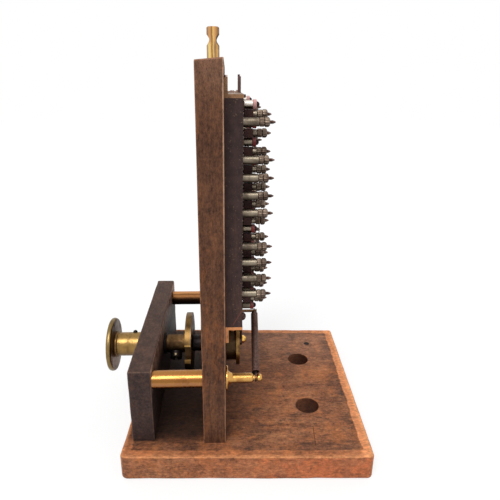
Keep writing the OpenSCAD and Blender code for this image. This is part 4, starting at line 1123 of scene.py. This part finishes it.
knob_mesh = bmesh.new()
lathe(knob_mesh, knob_outline(knob_low.x, knob_high.x), 0, AXIS_Z, 128)
flat_faces(settle("knob_turned", knob_mesh, olive_brass, "knob", "spindle"))

# %% [markdown]
# ## Pillars, post and bolt
# The two pillars are plain turned bars. The spring post swells into a flange at the board, and ends
# in a neck and a ball for the spring's hook.


# %% Pillars
def pillar_outline(box):
    return chamfered(box[0].x, box[1].x, radius_of(box), 0.5 * MM)


turned_set("near_pillar", pillar_brass, pillar_outline, 96)
turned_set("far_pillar", far_brass, pillar_outline, 96)


# %% Spring post, and the screws of pillars and post
def post_outline(box):
    neck, end, r = 1.7 * MM, 5.3 * MM, 4.8 * MM
    ball = [(end + 0.3 * MM + (1 - math.cos(math.radians(a))) * 2.4 * MM,
             2.4 * MM + 1.35 * MM * math.sin(math.radians(a))) for a in range(10, 171, 20)]
    flare = [(BACK_X + 2.4 * MM + 5 * MM * t, r + 2.6 * MM * (1 - t) ** 2) for t in
             [i / 8 for i in range(9)]]
    return ([(box[0].x, 0), (box[0].x, 3 * MM), (BACK_X, 3 * MM), (BACK_X, 11.6 * MM),
             (BACK_X + 0.5 * MM, 12.5 * MM), (BACK_X + 1.5 * MM, 12.5 * MM),
             (BACK_X + 2.1 * MM, 11.8 * MM), (BACK_X + 2.3 * MM, r + 3.2 * MM)] + flare
            + [(neck - 1.4 * MM, r), (neck - 0.5 * MM, r - 0.5 * MM), (neck, r - 1.2 * MM),
               (neck, 2.7 * MM), (end, 2.7 * MM), (end, 3 * MM)] + ball + [(box[1].x, 0)])


turned_set("spring_post", bright_brass, post_outline, 72)
softened("far_pillar_bolt", bright_brass, 0.5)
softened("pillar_front_screws", olive_brass, 0.2)
softened("eye_post", post_brass, 0.5, segments=3)
softened("base_screws", olive_brass, 0.1)

# %% [markdown]
# ## Cam, bushes and crank
# The cam's disc has a notch in its near edge, and its hub carries a large slotted clamp screw. All
# of these are turned or filed from solid bar and are hard-edged. Their measured shapes are right
# already, so they only need their edges broken and their own tarnish.

# %% Bushes, which stay with the boards, and what turns with the spindle
softened("front_bush", black_steel, 0.4)
softened("rear_bush", black_steel, 0.5)
for node, material, slot, width, segments in (
        ("spindle", black_steel, "dark_steel", 0.3, 2),
        ("knob_pin", black_steel, "dark_steel", 0.15, 2),
        ("cam_hub", hub_brass, "brass", 0.4, 2),
        ("cam_disc", cam_brass, "brass", 0.45, 3),
        ("cam_rivets", olive_brass, "aged_brass", 0.15, 2),
        ("cam_clamp_screw", clamp_steel, "dark_steel", 0.4, 2),
        ("crank_boss", dull_brass, "aged_brass", 0.4, 2),
        ("crank_disc", rim_brass, "brass", 0.4, 3),
        ("crank_screws", olive_brass, "aged_brass", 0.15, 2),
        ("crank_pin", pin_brass, "brass", 0.25, 2)):
    softened(node, material, width, "spindle", segments)

# %% [markdown]
# ## Panel and angles
# Flat stock keeps its measured shape. The angles are sawn and filed brass, so their edges are only
# just broken. The screws that hold them are steel or brass, each with its own wear.

# %% Panel and angles
for node, material, slot, width in (
        ("terminal_panel", panel_black, "panel_black", 0.6),
        ("upper_angle", brown_brass, "copper_brass", 0.35),
        ("lower_angle", copper_brass, "copper_brass", 0.35),
        ("angle_wall_screws", olive_brass, "aged_brass", 0.15),
        ("angle_panel_screws", copper_brass, "copper_brass", 0.2),
        ("angle_edge_screws", black_steel, "dark_steel", 0.2),
        ("angle_top_screws", pale_steel, "dark_steel", 0.2),
        ("slide_keeper", pale_steel, "dark_steel", 0.3),
        ("contact_fingers", dull_brass, "brass", 0.1)):
    softened(node, material, width)

# %% [markdown]
# ## Slide
# The slide carries brass contacts on insulating pads between the two columns of springs, and the
# crank's link is fixed to its foot. Every piece of it rides on the slide, so one loop makes them.

# %% Slide
for node, material, slot, width in (
        ("slide_bar", slide_steel, "dark_steel", 0.35),
        ("crank_link", slide_steel, "dark_steel", 0.4),
        ("link_screw", slide_steel, "dark_steel", 0.25),
        ("spring_stud", brown_brass, "copper_brass", 0.2),
        ("slide_cap", slide_steel, "dark_steel", 0.2),
        ("segment_pads", maroon_fibre, "maroon_fibre", 0.1),
        ("contact_segments", bright_brass, "brass", 0.15)):
    softened(node, material, width, "slide")

# %% [markdown]
# ## Terminals
# Each outer terminal is a pillar, a pointed stud with a screw thread, and two nuts whose edges are
# knurled. The inner ones stand on square blocks. A knurl could be cut into a plain nut, but it is
# simpler to let the lathe's radius follow a wave round the edge.


# %% Knurled nuts
def knurl_of(count, depth):
    """A radius that dips count times in one turn."""
    return lambda angle: -depth * (0.5 + 0.5 * math.cos(count * angle)) ** 2


def lock_nut_outline(box):
    x0, x1, r = box[0].x, box[1].x, radius_of(box)
    return [(x0, 0), (x0, r - 0.6 * MM), (x0 + 0.15 * MM, r - 0.2 * MM), (x0 + 0.5 * MM, r),
            (x1 - 0.7 * MM, r), (x1 - 0.25 * MM, r - 0.25 * MM), (x1, r - 0.8 * MM), (x1, 0)]


def clamp_nut_outline(box):
    """The outer nut is rounded off towards the stud's tip."""
    x0, x1, r = box[0].x, box[1].x, radius_of(box)
    long = x1 - x0
    return [(x0, 0), (x0, r - 0.5 * MM), (x0 + 0.2 * MM, r - 0.1 * MM), (x0 + 0.5 * MM, r),
            (x0 + long * 0.60, r), (x0 + long * 0.76, r * 0.94), (x0 + long * 0.88, r * 0.82),
            (x0 + long * 0.96, r * 0.68), (x1, r * 0.56), (x1, 0)]


for node, outline_of, flutes in (
        ("outer_lock_nuts", lock_nut_outline, 15), ("outer_clamp_nuts", clamp_nut_outline, 11),
        ("inner_lock_nuts", lock_nut_outline, 13), ("inner_clamp_nuts", clamp_nut_outline, 11)):
    turned_set(node, nut_nickel, outline_of, 88, knurl_of(flutes, 0.34 * MM))

# %% [markdown]
# ## Pillars, collars, sleeves and washers
# These are short plain cylinders with broken edges. One outline serves for all of them, and only the
# finish differs: nickel for what carries current, red fibre for what insulates.


# %% Pillars, collars, sleeves and washers
def plain_outline(box):
    return chamfered(box[0].x, box[1].x, radius_of(box), 0.35 * MM)


for node, material, slot, sides in (
        ("outer_pillars", nickel, "nickel", 48), ("inner_collars", nickel, "nickel", 48),
        ("contact_sleeves", sleeve_nickel, "nickel", 48), ("contact_seats", red_fibre, "red_fibre", 40),
        ("fibre_washers", red_fibre, "red_fibre", 48)):
    turned_set(node, material, plain_outline, sides)

# %% [markdown]
# ## Studs
# A stud's tip stands out past its nuts and shows its thread. A true helix would need an open seam
# or a long sweep. Rings of ridges close by themselves and look the same at this size.

# %% Studs with threaded tips
THREAD_PITCH = 0.7 * MM


def stud_outline(box):
    x0, x1, r = box[0].x, box[1].x, radius_of(box)
    thread_from, thread_to = x1 - 9 * MM, x1 - 2.6 * MM
    points = [(x0, 0), (x0, r - 0.2 * MM), (thread_from, r - 0.2 * MM)]
    x = thread_from
    while x < thread_to:
        points += [(x + THREAD_PITCH * 0.25, r), (x + THREAD_PITCH * 0.75, r - 0.28 * MM)]
        x += THREAD_PITCH
    return points + [(thread_to + THREAD_PITCH, r - 0.3 * MM), (x1 - 0.3 * MM, 0.6 * MM),
                     (x1, 0.3 * MM), (x1, 0)]


for node in ("outer_studs", "inner_studs"):
    turned_set(node, stud_nickel, stud_outline, 32)
softened("insulating_blocks", maroon_fibre, 0.4)
softened("contact_bolts", black_steel, 0.2)

# %% [markdown]
# ## Jumper wire
# One bare wire joins two terminals. It bows out a little, as bent wire does. Its centre line is half
# a sine wave, and a ring of points is set round each point of that line. The same skin over rings
# serves for the spring.


# %% Jumper wire
def skin(mesh, rings):
    """Join rings of points into a closed tube."""
    sides = len(rings[0])
    for one, two in zip(rings, rings[1:]):
        for k in range(sides):
            n = (k + 1) % sides
            mesh.faces.new((one[k], one[n], two[n], two[k]))
    mesh.faces.new(rings[0])
    mesh.faces.new(rings[-1])


def round_angles(sides):
    return [2 * math.pi * k / sides for k in range(sides)]


WIRE_R, WIRE_STEPS, WIRE_SIDES = 0.45 * MM, 24, 10
wire_low, wire_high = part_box("jumper_wire")
wire_mesh = bmesh.new()
wire_rings = []
for i in range(WIRE_STEPS + 1):
    share = i / WIRE_STEPS
    bow = math.sin(math.pi * share)
    centre = Vector(((wire_low.x + wire_high.x) / 2 + 0.25 * MM * bow,
                     (wire_low.y + wire_high.y) / 2 - 0.5 * MM * bow,
                     wire_low.z + (wire_high.z - wire_low.z) * share))
    wire_rings.append([wire_mesh.verts.new(centre + WIRE_R * Vector((math.cos(a), math.sin(a), 0)))
                       for a in round_angles(WIRE_SIDES)])
skin(wire_mesh, wire_rings)
settle("jumper_wire_bowed", wire_mesh, dull_brass, "jumper_wire")

# %% [markdown]
# ## Return spring
# The spring is one wire: a hook round the post's neck, a short bend, close coils and a hook round
# the stud. It lies on the same line as the measured one, with many more points, and each ring's
# direction is carried along from the one before so that the tube never twists. Its own sizes are
# in millimetres.

# %% Centre line of the spring
WIRE_D, COIL_R, PITCH = 1.2, 3.25, 1.72
NECK_D, STUD_D, HOOK_GAP, BEND_R, HOOK_SWEEP = 5.4, 3.3, 0.25, 1.2, 250
SPRING_FROM, SPRING_TO = Vector((4.55, -91.5, 93.5)), Vector((7.6, 0.0, 120.0))
STEPS_PER_COIL, SPRING_SIDES = 24, 12
span = (SPRING_TO - SPRING_FROM).length
hook_post, hook_stud = ((d + WIRE_D) / 2 + HOOK_GAP for d in (NECK_D, STUD_D))
coil_start, coil_end = hook_post + 3.2, span - hook_stud - 2.2
turns = math.floor((coil_end - coil_start) / PITCH)
bend_turn = math.degrees(BEND_R / COIL_R)


def on_coil(angle, height):
    a = math.radians(angle)
    return Vector((-COIL_R * math.sin(a), COIL_R * math.cos(a), height))


def hook(radius, height, angles):
    return [Vector((0, radius * math.cos(math.radians(a)), height + radius * math.sin(math.radians(a))))
            for a in angles]


def bend(angles, start, way):
    """The short bend between a hook and the coils. way is 1 at the first end and -1 at the last."""
    return [on_coil(way * bend_turn * (1 - math.cos(math.radians(b))),
                    start - way * BEND_R + way * BEND_R * math.sin(math.radians(b))) for b in angles]


hook_angles = [HOOK_SWEEP * i / 36 for i in range(37)]
line = hook(hook_post, 0, [-a for a in reversed(hook_angles)])
line += bend(range(0, 90, 15), coil_start, 1)
for i in range(turns * STEPS_PER_COIL + 1):
    t = i / (turns * STEPS_PER_COIL)
    line.append(on_coil(bend_turn + t * (turns * 360 - 2 * bend_turn),
                        coil_start + t * (coil_end - coil_start)))
line += bend(range(75, -1, -15), coil_end, -1)
line += hook(hook_stud, span, hook_angles)
along = (SPRING_TO - SPRING_FROM).normalized()
side_on = (Vector((1, 0, 0)) - along.x * along).normalized()
across = along.cross(side_on)
line = [(SPRING_FROM + p.x * side_on + p.y * across + p.z * along) * MM for p in line]
print("spring turns", turns, "points", len(line))

# %% Tube round the line
spring_mesh = bmesh.new()
outward_layer = spring_mesh.verts.layers.float.new("wear")
before = Vector((1, 0, 0))
rings = []
for i, point in enumerate(line):
    heading = (line[min(i + 1, len(line) - 1)] - line[max(i - 1, 0)]).normalized()
    before = (before - before.dot(heading) * heading).normalized()
    third = heading.cross(before)
    out = point - SPRING_FROM * MM
    out = (out - out.dot(along) * along).normalized()
    ring = []
    for a in round_angles(SPRING_SIDES):
        side = math.cos(a) * before + math.sin(a) * third
        vert = spring_mesh.verts.new(point + WIRE_D / 2 * MM * side)
        vert[outward_layer] = max(0.0, side.dot(out))
        ring.append(vert)
    rings.append(ring)
skin(spring_mesh, rings)
spring = settle("return_spring_wound", spring_mesh, spring_steel, "return_spring", None)
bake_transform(spring)
